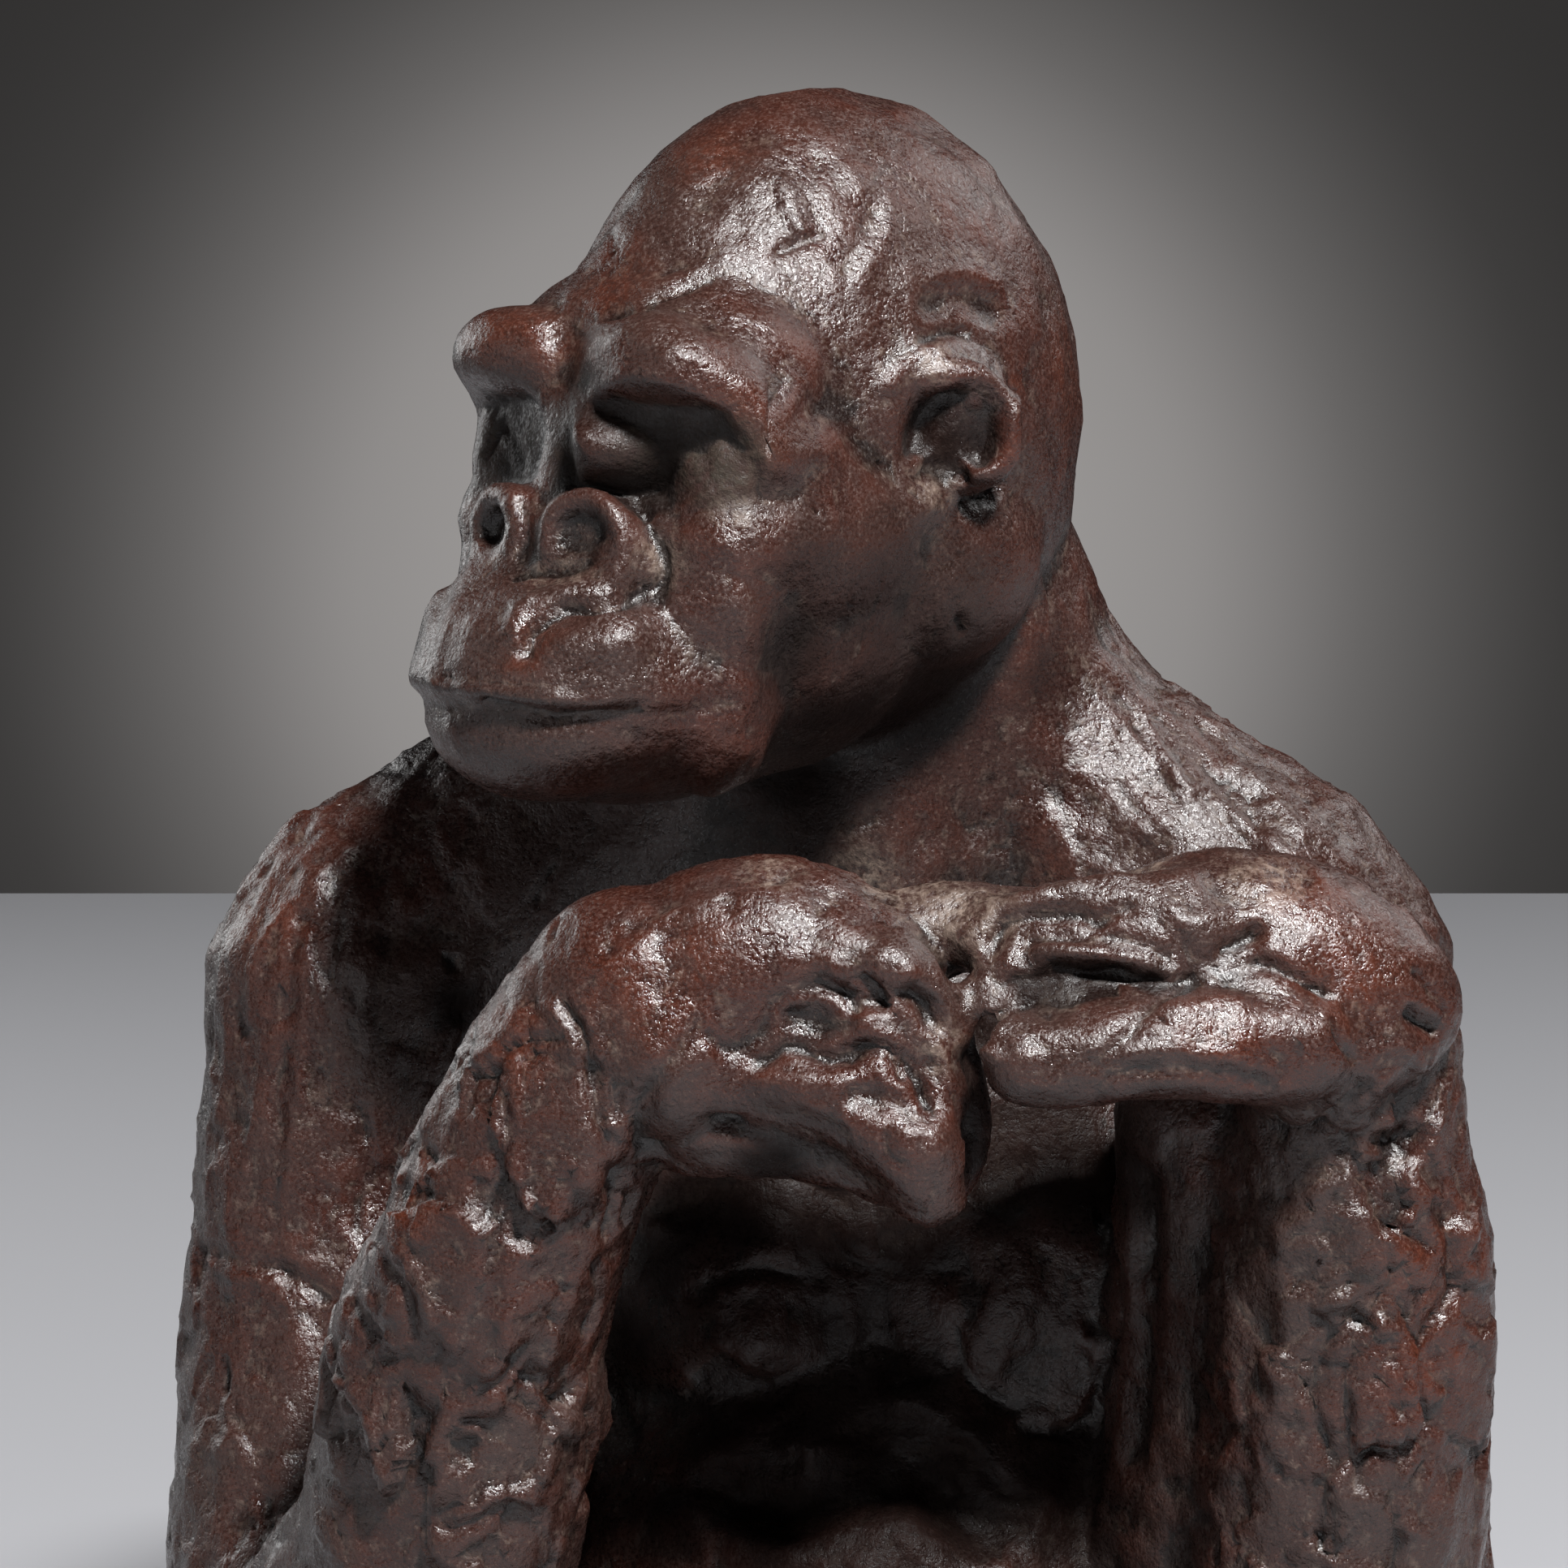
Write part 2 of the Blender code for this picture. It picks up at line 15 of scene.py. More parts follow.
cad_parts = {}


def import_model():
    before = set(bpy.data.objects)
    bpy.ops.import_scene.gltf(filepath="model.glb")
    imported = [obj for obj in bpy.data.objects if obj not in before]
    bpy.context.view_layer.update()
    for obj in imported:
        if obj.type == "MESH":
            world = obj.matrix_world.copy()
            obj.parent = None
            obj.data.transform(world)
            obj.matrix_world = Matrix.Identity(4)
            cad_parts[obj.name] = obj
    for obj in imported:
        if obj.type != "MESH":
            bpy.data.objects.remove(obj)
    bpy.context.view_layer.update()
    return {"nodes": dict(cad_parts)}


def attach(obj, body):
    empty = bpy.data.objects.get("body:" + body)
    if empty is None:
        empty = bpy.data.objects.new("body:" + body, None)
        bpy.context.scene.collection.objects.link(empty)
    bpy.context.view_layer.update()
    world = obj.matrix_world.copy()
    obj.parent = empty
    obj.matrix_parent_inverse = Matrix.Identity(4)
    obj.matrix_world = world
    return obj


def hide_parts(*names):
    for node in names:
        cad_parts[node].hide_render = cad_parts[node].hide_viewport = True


MM = 0.001
NODE = "gorilla_figure"
SKIN_VOXEL = 1.1 * MM
MOST_TRIANGLES = 197000
LINE_STEPS = 8

# The photograph's camera: 1932 pixels square, eight degrees above the level
PHOTO_SIZE = 1932
FOCAL_PIXELS = 6860
CAMERA_ELEVATION = math.radians(8)
CAMERA_TARGET = Vector((-9.3, 0, 225.5)) * MM
CAMERA_DISTANCE = 1.0
TOWARDS_CAMERA = Vector((0, -math.cos(CAMERA_ELEVATION), math.sin(CAMERA_ELEVATION)))
CAMERA_PLACE = CAMERA_TARGET + TOWARDS_CAMERA * CAMERA_DISTANCE
SENSOR_WIDTH = 36

# The backdrop, with a painted pool of light: the direction of its lightest place, then (distance from
# there, grey)
BACKDROP_MIDDLE = (-0.002, 0.995, -0.103)
BACKDROP_GREYS = [
    (0.03, 0.33), (1.0, 0.16), (0.075, 0.28), (0.105, 0.12), (0.14, 0.036), (0.2, 0.02), (0.5, 0.13),
]
BACKDROP_TINT = (1.03, 0.985, 0.965)
ROOM_LIGHT = (0.016, 0.016, 0.017, 1)

# The lamps, all aimed at the camera's target: name, place in metres, size and power
LAMPS = [
    ("key", (0.41, -0.94, 1.45), 0.2, 76),
    ("left", (-1.1, -0.75, 0.5), 0.5, 1.6),
    ("back_left", (-0.9, 0.8, 0.5), 0.6, 4),
    ("back_right", (0.9, 0.7, 1.0), 0.6, 5),
]

# The table: its middle, its half lengths along x and y, and its finish
TABLE_MIDDLE = (0, -0.36, 0)
TABLE_HALF = (3, 1.64, 1)
TABLE_COLOUR = (0.32, 0.32, 0.335, 1)
TABLE_ROUGHNESS = 0.6


def lattice(cells, seed):
    """A repeatable random number from 0 to 1 for each whole-numbered cell."""
    mixed = cells[:, 0] * 73856093 ^ cells[:, 1] * 19349663 ^ cells[:, 2] * 83492791 ^ seed * 374761393
    mixed = (mixed ^ mixed >> 13) * 1274126177 & 0xFFFFFFFF
    return ((mixed ^ mixed >> 16) & 0xFFFFFF) / 0xFFFFFF


def hills(points, size, seed):
    """Soft random hills and hollows from -1 to 1, each about size across."""
    scaled = points / size
    cell = np.floor(scaled).astype(np.int64)
    part = scaled - cell
    part = part**3 * (part * (part * 6 - 15) + 10)
    total = np.zeros(len(points))
    for corner in np.ndindex(2, 2, 2):
        share = np.prod(np.where(corner, part, 1 - part), axis=1)
        total += share * lattice(cell + corner, seed)
    return 2 * total - 1


def rough(points, size, seed, layers=3):
    """Hills with smaller hills on them."""
    total = np.zeros(len(points))
    turned = points
    for layer in range(layers):
        total += hills(turned, size / 2**layer, seed + layer) / 2**layer
        turned = turned[:, [1, 2, 0]] * (0.8, 0.6, 1.1) + turned * (0.6, -0.8, 0.35)
    return total / 1.6


def pellets(points, size, seed):
    """For each point: how far its pellet of clay stands up there, from the pellet's own
    height and tilt, and the distance from the pellet's edge, both in pellets."""
    scaled = points / size
    cell = np.floor(scaled).astype(np.int64)
    first = np.full(len(points), 9.0)
    second = first.copy()
    stand = np.zeros(len(points))
    for shift in np.ndindex(3, 3, 3):
        other = cell + np.array(shift) - 1
        middle = other + np.stack([lattice(other, seed + k) for k in range(3)], axis=1)
        offset = scaled - middle
        away = np.linalg.norm(offset, axis=1)
        nearer = away < first
        tilt = np.stack([lattice(other, seed + k) for k in range(3, 6)], axis=1) - 0.5
        own = (offset * tilt).sum(1) * 2 + lattice(other, seed + 6) - 0.5
        second = np.where(nearer, first, np.minimum(second, away))
        stand = np.where(nearer, own, stand)
        first = np.minimum(first, away)
    return stand, second - first


def combed(points, along, across, seed):
    """Bristle marks that run along a direction, each about across wide."""
    along = np.array(Vector(along).normalized())
    shift = (points @ along)[:, None] * along
    return hills((points - shift) / across + shift / (across * 14), 1.0, seed)


def near(points, spots, soft):
    """How far each point belongs to any of the (x, y, z, radius) balls, in millimetres."""
    share = np.zeros(len(points))
    for x, y, z, radius in spots:
        away = np.linalg.norm(points - np.array((x, y, z)) * MM, axis=1) / (radius * MM)
        share = np.maximum(share, np.clip((1 - away) / soft, 0, 1))
    return share * share * (3 - 2 * share)


def read_vectors(items, name):
    values = np.empty(len(items) * 3, np.float32)
    items.foreach_get(name, values)
    return values.reshape(-1, 3).astype(float)


def settled(piece):
    """The piece with its modifiers made into one plain mesh."""
    bpy.context.view_layer.update()
    evaluated = piece.evaluated_get(bpy.context.evaluated_depsgraph_get())
    mesh = bpy.data.meshes.new_from_object(evaluated)
    plain = bpy.data.objects.new(piece.name, mesh)
    bpy.data.objects.remove(piece)
    bpy.context.scene.collection.objects.link(plain)
    return plain


def fine_skin(node):
    """A copy of the solid's skin, with facets fine enough to be worked."""
    skin = bpy.data.objects.new("gorilla_skin", node.data.copy())
    bpy.context.scene.collection.objects.link(skin)
    remesh = skin.modifiers.new("fine", "REMESH")
    remesh.mode = "VOXEL"
    remesh.voxel_size = SKIN_VOXEL
    smooth = skin.modifiers.new("smooth", "SMOOTH")
    smooth.factor = 0.5
    smooth.iterations = 10
    return settled(skin)


def photo_point(skin_tree, x, y):
    """The place on the skin that the photograph shows at a pixel."""
    right = (x - PHOTO_SIZE / 2) / FOCAL_PIXELS
    up = (PHOTO_SIZE / 2 - y) / FOCAL_PIXELS
    upward = Vector((0, math.sin(CAMERA_ELEVATION), math.cos(CAMERA_ELEVATION)))
    ray = Vector((right, 0, 0)) + upward * up - TOWARDS_CAMERA
    place = skin_tree.ray_cast(CAMERA_PLACE, ray.normalized())[0]
    return np.array(place) if place else None


def smooth_line(points, steps):
    """Points along one smooth curve through the given ones."""
    knots = [2 * points[0] - points[1], *points, 2 * points[-1] - points[-2]]
    line = []
    for a, b, c, d in zip(knots, knots[1:], knots[2:], knots[3:]):
        for t in np.arange(steps) / steps:
            bend = (2 * a - 5 * b + 4 * c - d) * t**2 + (3 * b - a - 3 * c + d) * t**3
            line.append(0.5 * (2 * b + (c - a) * t + bend))
    return np.array([*line, points[-1]])


def draw(points, normals, wobble, line, width, depth, sharp=1.0):
    """Draws a tool of a width along a line on the skin, all in metres. A positive depth
    presses in and a negative one raises. A sharp above 1 narrows the mark."""
    margin = width * 1.5
    close = np.all((points > line.min(0) - margin) & (points < line.max(0) + margin), axis=1)
    chosen = np.flatnonzero(close)
    if not len(chosen):
        return
    placed = points[chosen] + wobble[chosen] * min(width / (4 * MM), 1)
    away = np.linalg.norm(placed[:, None, :] - line[None, :, :], axis=2)
    closest = away.argmin(1)
    share = np.clip(1 - (away.min(1) / width) ** (2 / sharp), 0, 1) ** 2
    facing = np.exp(-2 * (away / width) ** 2).T @ normals[chosen]
    facing /= np.maximum(np.linalg.norm(facing, axis=1, keepdims=True), 1e-9)
    points[chosen] -= facing[closest] * (share * depth)[:, None]


# Marks read off the photograph: half width and depth in mm, sharpness, then pixels.
# A negative depth raises a ridge.
FACE_MARKS = [
    # Brow rim, socket and the crumbled patch in it
    (3.0, -1.2, 1.5, [(735, 485), (770, 464), (820, 468), (860, 484), (900, 502), (925, 535), (940, 575)]),
    (7.0, 3.0, 1.0, [(748, 540), (776, 562), (800, 584)]),
    (1.6, 0.8, 1.5, [(800, 560), (830, 545), (862, 556)]),
    (1.8, 1.8, 1.4, [(735, 600), (770, 616), (802, 632)]),
    (1.6, -0.6, 1.5, [(805, 634), (850, 618), (885, 604), (925, 596)]),
    (2.4, 1.0, 1.5, [(600, 500), (640, 505), (665, 530)]),
    (1.8, 1.2, 1.5, [(600, 560), (620, 530), (650, 570)]),
    # Near nostril and its ring
    (3.4, -1.1, 1.2, [(672, 668), (685, 630), (720, 612), (752, 628), (768, 662), (765, 700)]),
    (2.6, 2.0, 1.3, [(785, 622), (805, 658), (818, 694), (812, 716)]),
    (2.4, 1.4, 1.4, [(637, 712), (668, 704), (700, 702), (722, 692)]),
    # Roll of the wing of the nose, and the fold under it
    (3.2, -1.0, 1.2, [(768, 706), (745, 726), (708, 728), (668, 736), (643, 752), (630, 782)]),
    (2.2, 2.2, 1.4, [(790, 726), (765, 746), (735, 752), (705, 750), (676, 764), (655, 782), (645, 806)]),
    (2.6, 1.2, 1.2, [(598, 655), (606, 660)]),
    (1.8, 1.0, 1.4, [(640, 615), (648, 650), (640, 690)]),
    # Lips
    (5.0, -1.2, 1.1, [(690, 800), (730, 800), (770, 790)]),
    (2.2, 1.6, 1.4, [(522, 880), (600, 866), (655, 878), (697, 886), (735, 882), (785, 878)]),
    (1.6, 1.2, 1.4, [(690, 878), (722, 884), (750, 880)]),
    (1.6, 0.8, 1.4, [(545, 832), (600, 838), (660, 846), (720, 852)]),
    (2.0, -0.6, 1.3, [(550, 852), (620, 856), (680, 864)]),
    (2.6, 0.7, 1.2, [(800, 884), (860, 878), (905, 862)]),
    # Edge of the muzzle where it turns to the jaw
    (6.0, -1.2, 1.3, [(900, 745), (912, 800), (917, 860), (920, 925), (915, 975)]),
    (8.0, 1.2, 1.0, [(965, 770), (970, 840), (970, 920)]),
    # Cheek nicks and the jaw's end
    (1.6, 1.4, 1.5, [(1182, 762), (1186, 778)]),
    (1.2, 1.0, 1.5, [(1276, 722), (1262, 765)]),
    (1.2, 0.6, 1.5, [(1000, 627), (1004, 631)]),
]
SKULL_MARKS = [
    (1.5, 1.7, 1.6, [(960, 309), (984, 300), (1013, 290)]),
    (2.8, -0.9, 1.4, [(957, 219), (972, 262), (990, 288)]),
    (1.4, 0.8, 1.5, [(948, 222), (962, 262), (972, 292)]),
    (1.2, 0.7, 1.5, [(1009, 192), (998, 240), (1010, 276)]),
    (3.2, 1.7, 1.2, [(756, 382), (778, 384)]),
    (1.6, 1.2, 1.6, [(790, 382), (808, 369), (840, 359), (874, 347)]),
    (2.6, -0.7, 1.3, [(800, 352), (840, 342), (870, 330)]),
    (4.0, -0.9, 1.2, [(822, 440), (842, 442)]),
    (6.0, 1.0, 1.0, [(870, 405), (905, 440)]),
    (5.0, 1.5, 1.1, [(1150, 372), (1185, 366), (1220, 380)]),
    (4.0, -0.8, 1.1, [(1150, 345), (1190, 338), (1225, 352)]),
    (1.8, 1.3, 1.5, [(1140, 418), (1165, 408), (1192, 412)]),
    (6.0, 0.9, 1.0, [(870, 240), (900, 200), (930, 170)]),
    (5.0, 0.8, 1.0, [(700, 330), (740, 290), (770, 250)]),
    (1.2, 0.8, 1.5, [(755, 312), (760, 300), (752, 286)]),
    (3.0, 0.7, 1.2, [(1040, 330), (1060, 300), (1075, 260)]),
    (3.0, -0.6, 1.2, [(1060, 345), (1085, 310), (1100, 270)]),
    (1.0, 0.6, 1.5, [(905, 246), (915, 270), (905, 300)]),
]
EAR_MARKS = [
    (2.6, -1.2, 1.3, [(1092, 478), (1110, 452), (1145, 434), (1190, 434), (1228, 462), (1250, 505),
                      (1247, 550)]),
    (3.0, 0.8, 1.2, [(1130, 528), (1150, 510), (1185, 505), (1212, 520), (1206, 545)]),
    (2.4, -1.6, 1.2, [(1118, 572), (1150, 556), (1180, 560), (1204, 580)]),
    (3.4, 2.2, 1.2, [(1128, 548), (1142, 514), (1172, 492), (1206, 486), (1226, 508)]),
    (2.2, 2.0, 1.4, [(1140, 530), (1165, 515), (1190, 522)]),
    (2.0, 1.6, 1.4, [(1196, 545), (1206, 570), (1190, 588)]),
    (2.0, 2.8, 1.3, [(1192, 622), (1216, 612), (1237, 596)]),
    (1.6, 1.0, 1.4, [(1122, 604), (1132, 612)]),
    (1.6, -0.7, 1.3, [(1180, 590), (1215, 584), (1238, 566)]),
]
HAND_R_MARKS = [
    # Step where the forearm's clay ends at the wrist
    (2.2, 1.5, 1.5, [(692, 1238), (716, 1272), (728, 1320), (733, 1362), (744, 1398)]),
    (2.8, -0.9, 1.4, [(680, 1244), (704, 1278), (716, 1326), (722, 1370)]),
    # Knuckles, and the folds between them
    (3.0, -0.8, 1.3, [(725, 1272), (736, 1222), (775, 1174), (829, 1130), (883, 1104)]),
    (1.6, 1.4, 1.5, [(872, 1274), (890, 1288)]),
    (2.0, 1.4, 1.5, [(892, 1290), (937, 1272), (955, 1236), (1000, 1214), (1036, 1222), (1056, 1243)]),
    (4.5, -1.0, 1.2, [(975, 1182), (1005, 1180), (1030, 1192)]),
    (3.4, 1.6, 1.2, [(975, 1252), (1010, 1262), (1040, 1264)]),
    (2.2, 2.0, 1.5, [(937, 1309), (973, 1290), (1009, 1302), (1045, 1302), (1066, 1290)]),
    (4.0, -1.2, 1.2, [(1080, 1180), (1100, 1176), (1112, 1196)]),
    (2.0, 2.4, 1.5, [(1062, 1206), (1082, 1224), (1090, 1238)]),
    (2.6, -0.9, 1.4, [(1110, 1152), (1139, 1174), (1156, 1212), (1172, 1254)]),
    (3.0, 2.6, 1.2, [(1118, 1226), (1140, 1240), (1152, 1258)]),
    (2.4, -0.9, 1.3, [(1060, 1256), (1099, 1246), (1135, 1267), (1156, 1290), (1168, 1332)]),
    (1.6, 1.8, 1.5, [(1066, 1290), (1094, 1292), (1112, 1326)]),
    (2.0, 2.0, 1.4, [(1116, 1300), (1132, 1330), (1146, 1362)]),
    (2.0, -0.9, 1.3, [(1076, 1309), (1100, 1316)]),
    # Thumb with its nail
    (3.0, -0.9, 1.3, [(940, 1332), (1000, 1334), (1072, 1324), (1108, 1340), (1134, 1374), (1156, 1420)]),
    (1.2, 0.8, 1.5, [(1048, 1340), (1050, 1372), (1060, 1402)]),
    (3.4, -0.8, 1.2, [(1104, 1372), (1118, 1392), (1112, 1412)]),
    (1.2, 0.8, 1.5, [(1090, 1398), (1092, 1420), (1112, 1432)]),
    (3.4, 2.6, 1.2, [(884, 1382), (902, 1384)]),
    (1.6, 0.9, 1.5, [(811, 1411), (856, 1399), (890, 1378)]),
    (3.0, 0.8, 1.2, [(940, 1366), (1000, 1380), (1040, 1400)]),
    (1.8, 1.0, 1.5, [(945, 1086), (962, 1082), (972, 1074)]),
    (1.5, 0.6, 1.5, [(884, 1106), (900, 1110)]),
    (1.5, 0.7, 1.5, [(1005, 1170), (1020, 1162)]),
    (2.2, 0.7, 1.3, [(790, 1350), (830, 1300), (860, 1258)]),
    (2.0, -0.5, 1.3, [(770, 1340), (800, 1296), (826, 1262)]),
    (2.0, -0.5, 1.3, [(816, 1352), (850, 1310), (876, 1290)]),
]
HAND_L_MARKS = [
    # First finger
    (3.0, -0.9, 1.3, [(1210, 1116), (1260, 1106), (1310, 1094), (1370, 1082), (1420, 1094), (1446, 1124)]),
    (2.4, 2.0, 1.3, [(1226, 1166), (1240, 1140), (1266, 1130), (1322, 1124), (1356, 1136)]),
    (2.0, 1.6, 1.5, [(1346, 1140), (1370, 1126), (1394, 1116)]),
    (2.4, 1.2, 1.3, [(1270, 1162), (1320, 1156), (1380, 1160), (1440, 1176)]),
    (4.0, -0.7, 1.2, [(1404, 1112), (1434, 1114), (1444, 1136)]),
    # Second finger
    (3.0, -1.0, 1.3, [(1280, 1168), (1330, 1170), (1375, 1176), (1410, 1186), (1434, 1204)]),
    (3.6, -1.0, 1.2, [(1212, 1180), (1228, 1172), (1246, 1180)]),
    (3.6, 3.2, 1.1, [(1296, 1204), (1340, 1203), (1384, 1208)]),
    (2.2, 1.6, 1.4, [(1228, 1212), (1262, 1204), (1335, 1212), (1424, 1212), (1470, 1204)]),
    (2.0, 1.2, 1.5, [(1262, 1176), (1272, 1190), (1268, 1204)]),
    # Thumb with its nail
    (2.6, -1.2, 1.4, [(1232, 1276), (1260, 1254), (1310, 1231), (1350, 1222), (1388, 1226), (1420, 1220)]),
    (4.6, -1.0, 1.2, [(1455, 1242), (1490, 1236), (1520, 1240)]),
    (1.8, 1.2, 1.5, [(1350, 1313), (1384, 1282), (1404, 1262), (1422, 1238), (1470, 1214)]),
    (3.0, -2.4, 1.1, [(1224, 1226), (1214, 1262), (1222, 1298)]),
    (1.1, 0.8, 1.5, [(1240, 1298), (1262, 1284), (1290, 1290), (1300, 1308), (1286, 1322), (1256, 1322)]),
    (2.4, 1.0, 1.3, [(1364, 1324), (1440, 1318), (1520, 1322), (1560, 1340)]),
    (2.0, -0.6, 1.3, [(1350, 1300), (1420, 1296), (1500, 1300)]),
    # Back of the hand
    (2.2, 3.2, 1.4, [(1508, 1172), (1530, 1160), (1548, 1152)]),
    (2.0, 2.0, 1.5, [(1552, 1188), (1594, 1204), (1632, 1222)]),
    (3.4, -0.9, 1.2, [(1562, 1170), (1585, 1178), (1602, 1196)]),
    (3.0, -0.7, 1.2, [(1466, 1142), (1510, 1126), (1544, 1130)]),
    (2.4, 1.0, 1.3, [(1456, 1160), (1470, 1180), (1500, 1192)]),
    (1.6, 1.6, 1.5, [(1640, 1258), (1652, 1280), (1668, 1308)]),
    (1.5, 1.2, 1.5, [(1570, 1296), (1580, 1310), (1576, 1324)]),
    # Wrist
    (2.2, 3.0, 1.4, [(1738, 1250), (1752, 1258), (1768, 1268)]),
    (1.4, 1.2, 1.5, [(1740, 1200), (1764, 1226), (1778, 1250)]),
    (2.2, 2.2, 1.5, [(1684, 1338), (1652, 1364), (1610, 1388), (1570, 1378)]),
    (3.4, 3.2, 1.2, [(1700, 1404), (1726, 1410), (1748, 1402)]),
    (2.6, -0.8, 1.3, [(1690, 1300), (1716, 1286), (1738, 1290)]),
]
ARM_MARKS = [
    # Long tool marks over the left shoulder
    (2.0, 1.0, 1.5, [(1398, 892), (1432, 950), (1450, 986)]),
    (2.0, -0.7, 1.4, [(1412, 890), (1446, 944), (1464, 980)]),
    (1.8, -0.8, 1.4, [(1470, 946), (1530, 1008), (1564, 1042), (1594, 1056)]),
    (1.8, 0.8, 1.4, [(1486, 940), (1542, 998), (1590, 1040)]),
    (1.8, -0.8, 1.4, [(1498, 984), (1548, 1034), (1588, 1070)]),
    (1.6, 0.7, 1.4, [(1484, 980), (1534, 1030), (1572, 1064)]),
    (1.6, -0.6, 1.4, [(1520, 930), (1570, 984), (1604, 1030)]),
    (1.8, 0.8, 1.4, [(1380, 960), (1400, 1000), (1440, 1040)]),
    (1.8, 0.6, 1.4, [(1560, 930), (1620, 990), (1660, 1050)]),
    # Left arm: the edge of its front plane, pits and cracks
    (6.0, -1.4, 1.2, [(1657, 1436), (1610, 1492), (1586, 1567), (1590, 1633), (1575, 1717), (1560, 1800)]),
    (2.0, 1.6, 1.5, [(1722, 1516), (1740, 1526), (1758, 1534)]),
    (1.6, 1.8, 1.5, [(1746, 1722), (1752, 1734)]),
    (1.6, 1.6, 1.5, [(1714, 1730), (1722, 1738)]),
    (2.2, 1.8, 1.5, [(1692, 1780), (1676, 1806), (1672, 1826)]),
    (2.0, 1.4, 1.5, [(1764, 1480), (1782, 1510), (1790, 1540)]),
    (2.6, -1.0, 1.3, [(1628, 1610), (1650, 1600), (1676, 1610)]),
    (1.8, 1.2, 1.5, [(1624, 1626), (1650, 1618), (1680, 1628)]),
    (2.0, 1.2, 1.5, [(1590, 1880), (1610, 1900), (1640, 1900)]),
    (2.0, 1.0, 1.5, [(1700, 1600), (1716, 1640), (1708, 1690)]),
    # Seam between the chest and the left arm
    (2.4, 2.0, 1.4, [(1359, 1500), (1374, 1560), (1377, 1624), (1360, 1680), (1346, 1726)]),
    (1.6, 1.0, 1.5, [(1424, 1500), (1418, 1540), (1400, 1580)]),
    # Right forearm: broken edges of the clay laid on it
    (5.0, -1.6, 1.3, [(731, 1396), (709, 1438), (664, 1504), (635, 1563), (620, 1630), (592, 1686)]),
    (1.8, 1.9, 1.6, [(588, 1720), (604, 1704), (622, 1695), (642, 1659)]),
    (2.0, 1.5, 1.6, [(470, 1676), (500, 1673), (538, 1671), (536, 1642)]),
    (2.8, -1.2, 1.4, [(500, 1541), (524, 1585), (531, 1632)]),
    (2.0, 1.1, 1.5, [(484, 1552), (508, 1596), (514, 1640)]),
    (1.8, 1.2, 1.6, [(620, 1350), (625, 1412), (613, 1454), (600, 1490)]),
    (2.0, -0.8, 1.4, [(608, 1356), (612, 1410), (601, 1450)]),
    (1.8, 1.3, 1.6, [(648, 1702), (694, 1728), (730, 1744)]),
    (2.4, -0.9, 1.4, [(650, 1718), (690, 1742), (724, 1758)]),
    (1.8, 1.2, 1.6, [(478, 1712), (474, 1770), (488, 1812)]),
    (2.4, -0.9, 1.4, [(560, 1868), (590, 1858), (618, 1840)]),
    (1.8, 1.0, 1.6, [(556, 1884), (592, 1874), (626, 1854)]),
    (3.2, 2.4, 1.2, [(752, 1440), (760, 1480), (752, 1520)]),
    (2.4, 2.0, 1.3, [(778, 1470), (772, 1500)]),
    (2.4, 1.6, 1.4, [(735, 1560), (742, 1600), (728, 1640)]),
    (1.4, 1.3, 1.5, [(566, 1228), (574, 1262), (566, 1290)]),
    # Right upper arm and elbow
    (2.4, 2.2, 1.5, [(553, 1180), (562, 1246), (557, 1316)]),
    (1.8, 1.6, 1.5, [(440, 1364), (450, 1400)]),
    (1.8, 1.6, 1.5, [(443, 1476), (439, 1518)]),
    (1.6, 1.0, 1.5, [(352, 1290), (340, 1350), (346, 1400)]),
    (1.6, 0.9, 1.5, [(410, 1080), (420, 1140), (405, 1200)]),
    (3.0, 1.4, 1.3, [(250, 1540), (310, 1556), (360, 1570), (400, 1600)]),
    (2.0, 1.4, 1.5, [(272, 1680), (270, 1710)]),
    (2.6, -1.0, 1.3, [(268, 1790), (290, 1770), (300, 1800)]),
    (2.0, 1.2, 1.5, [(328, 1850), (336, 1880), (346, 1900)]),
    # Collar and armpit cracks
    (1.8, 1.6, 1.5, [(680, 1068), (664, 1096), (660, 1110)]),
    (1.6, 1.4, 1.5, [(688, 1134), (675, 1160)]),
]
CHEST_MARKS = [
    (2.4, 1.2, 1.4, [(859, 1594), (894, 1574), (935, 1566), (976, 1569), (1018, 1577)]),
    (3.4, -0.6, 1.3, [(862, 1612), (900, 1590), (940, 1582), (985, 1586)]),
    (1.8, 1.2, 1.5, [(1024, 1554), (1066, 1557), (1112, 1572)]),
    (1.6, 1.2, 1.6, [(1053, 1663), (1076, 1653), (1106, 1666)]),
    (2.4, 1.2, 1.4, [(1179, 1635), (1184, 1674), (1204, 1712), (1250, 1740)]),
    (3.0, -1.0, 1.4, [(1330, 1636), (1352, 1671), (1343, 1716), (1310, 1748), (1265, 1744)]),
    (2.4, 1.6, 1.5, [(1348, 1630), (1370, 1672), (1358, 1726), (1318, 1764), (1262, 1762)]),
    (5.0, 1.4, 1.2, [(820, 1836), (876, 1822), (965, 1800), (1053, 1772), (1120, 1752)]),
    (4.0, -0.6, 1.3, [(882, 1786), (953, 1752), (1012, 1728), (1076, 1726), (1135, 1734), (1182, 1764)]),
    (3.4, 2.0, 1.4, [(1182, 1784), (1229, 1828), (1265, 1846)]),
    (4.0, 1.0, 1.2, [(1020, 1620), (1024, 1670), (1010, 1710)]),
    (2.0, 0.9, 1.4, [(1224, 1546), (1234, 1560)]),
]

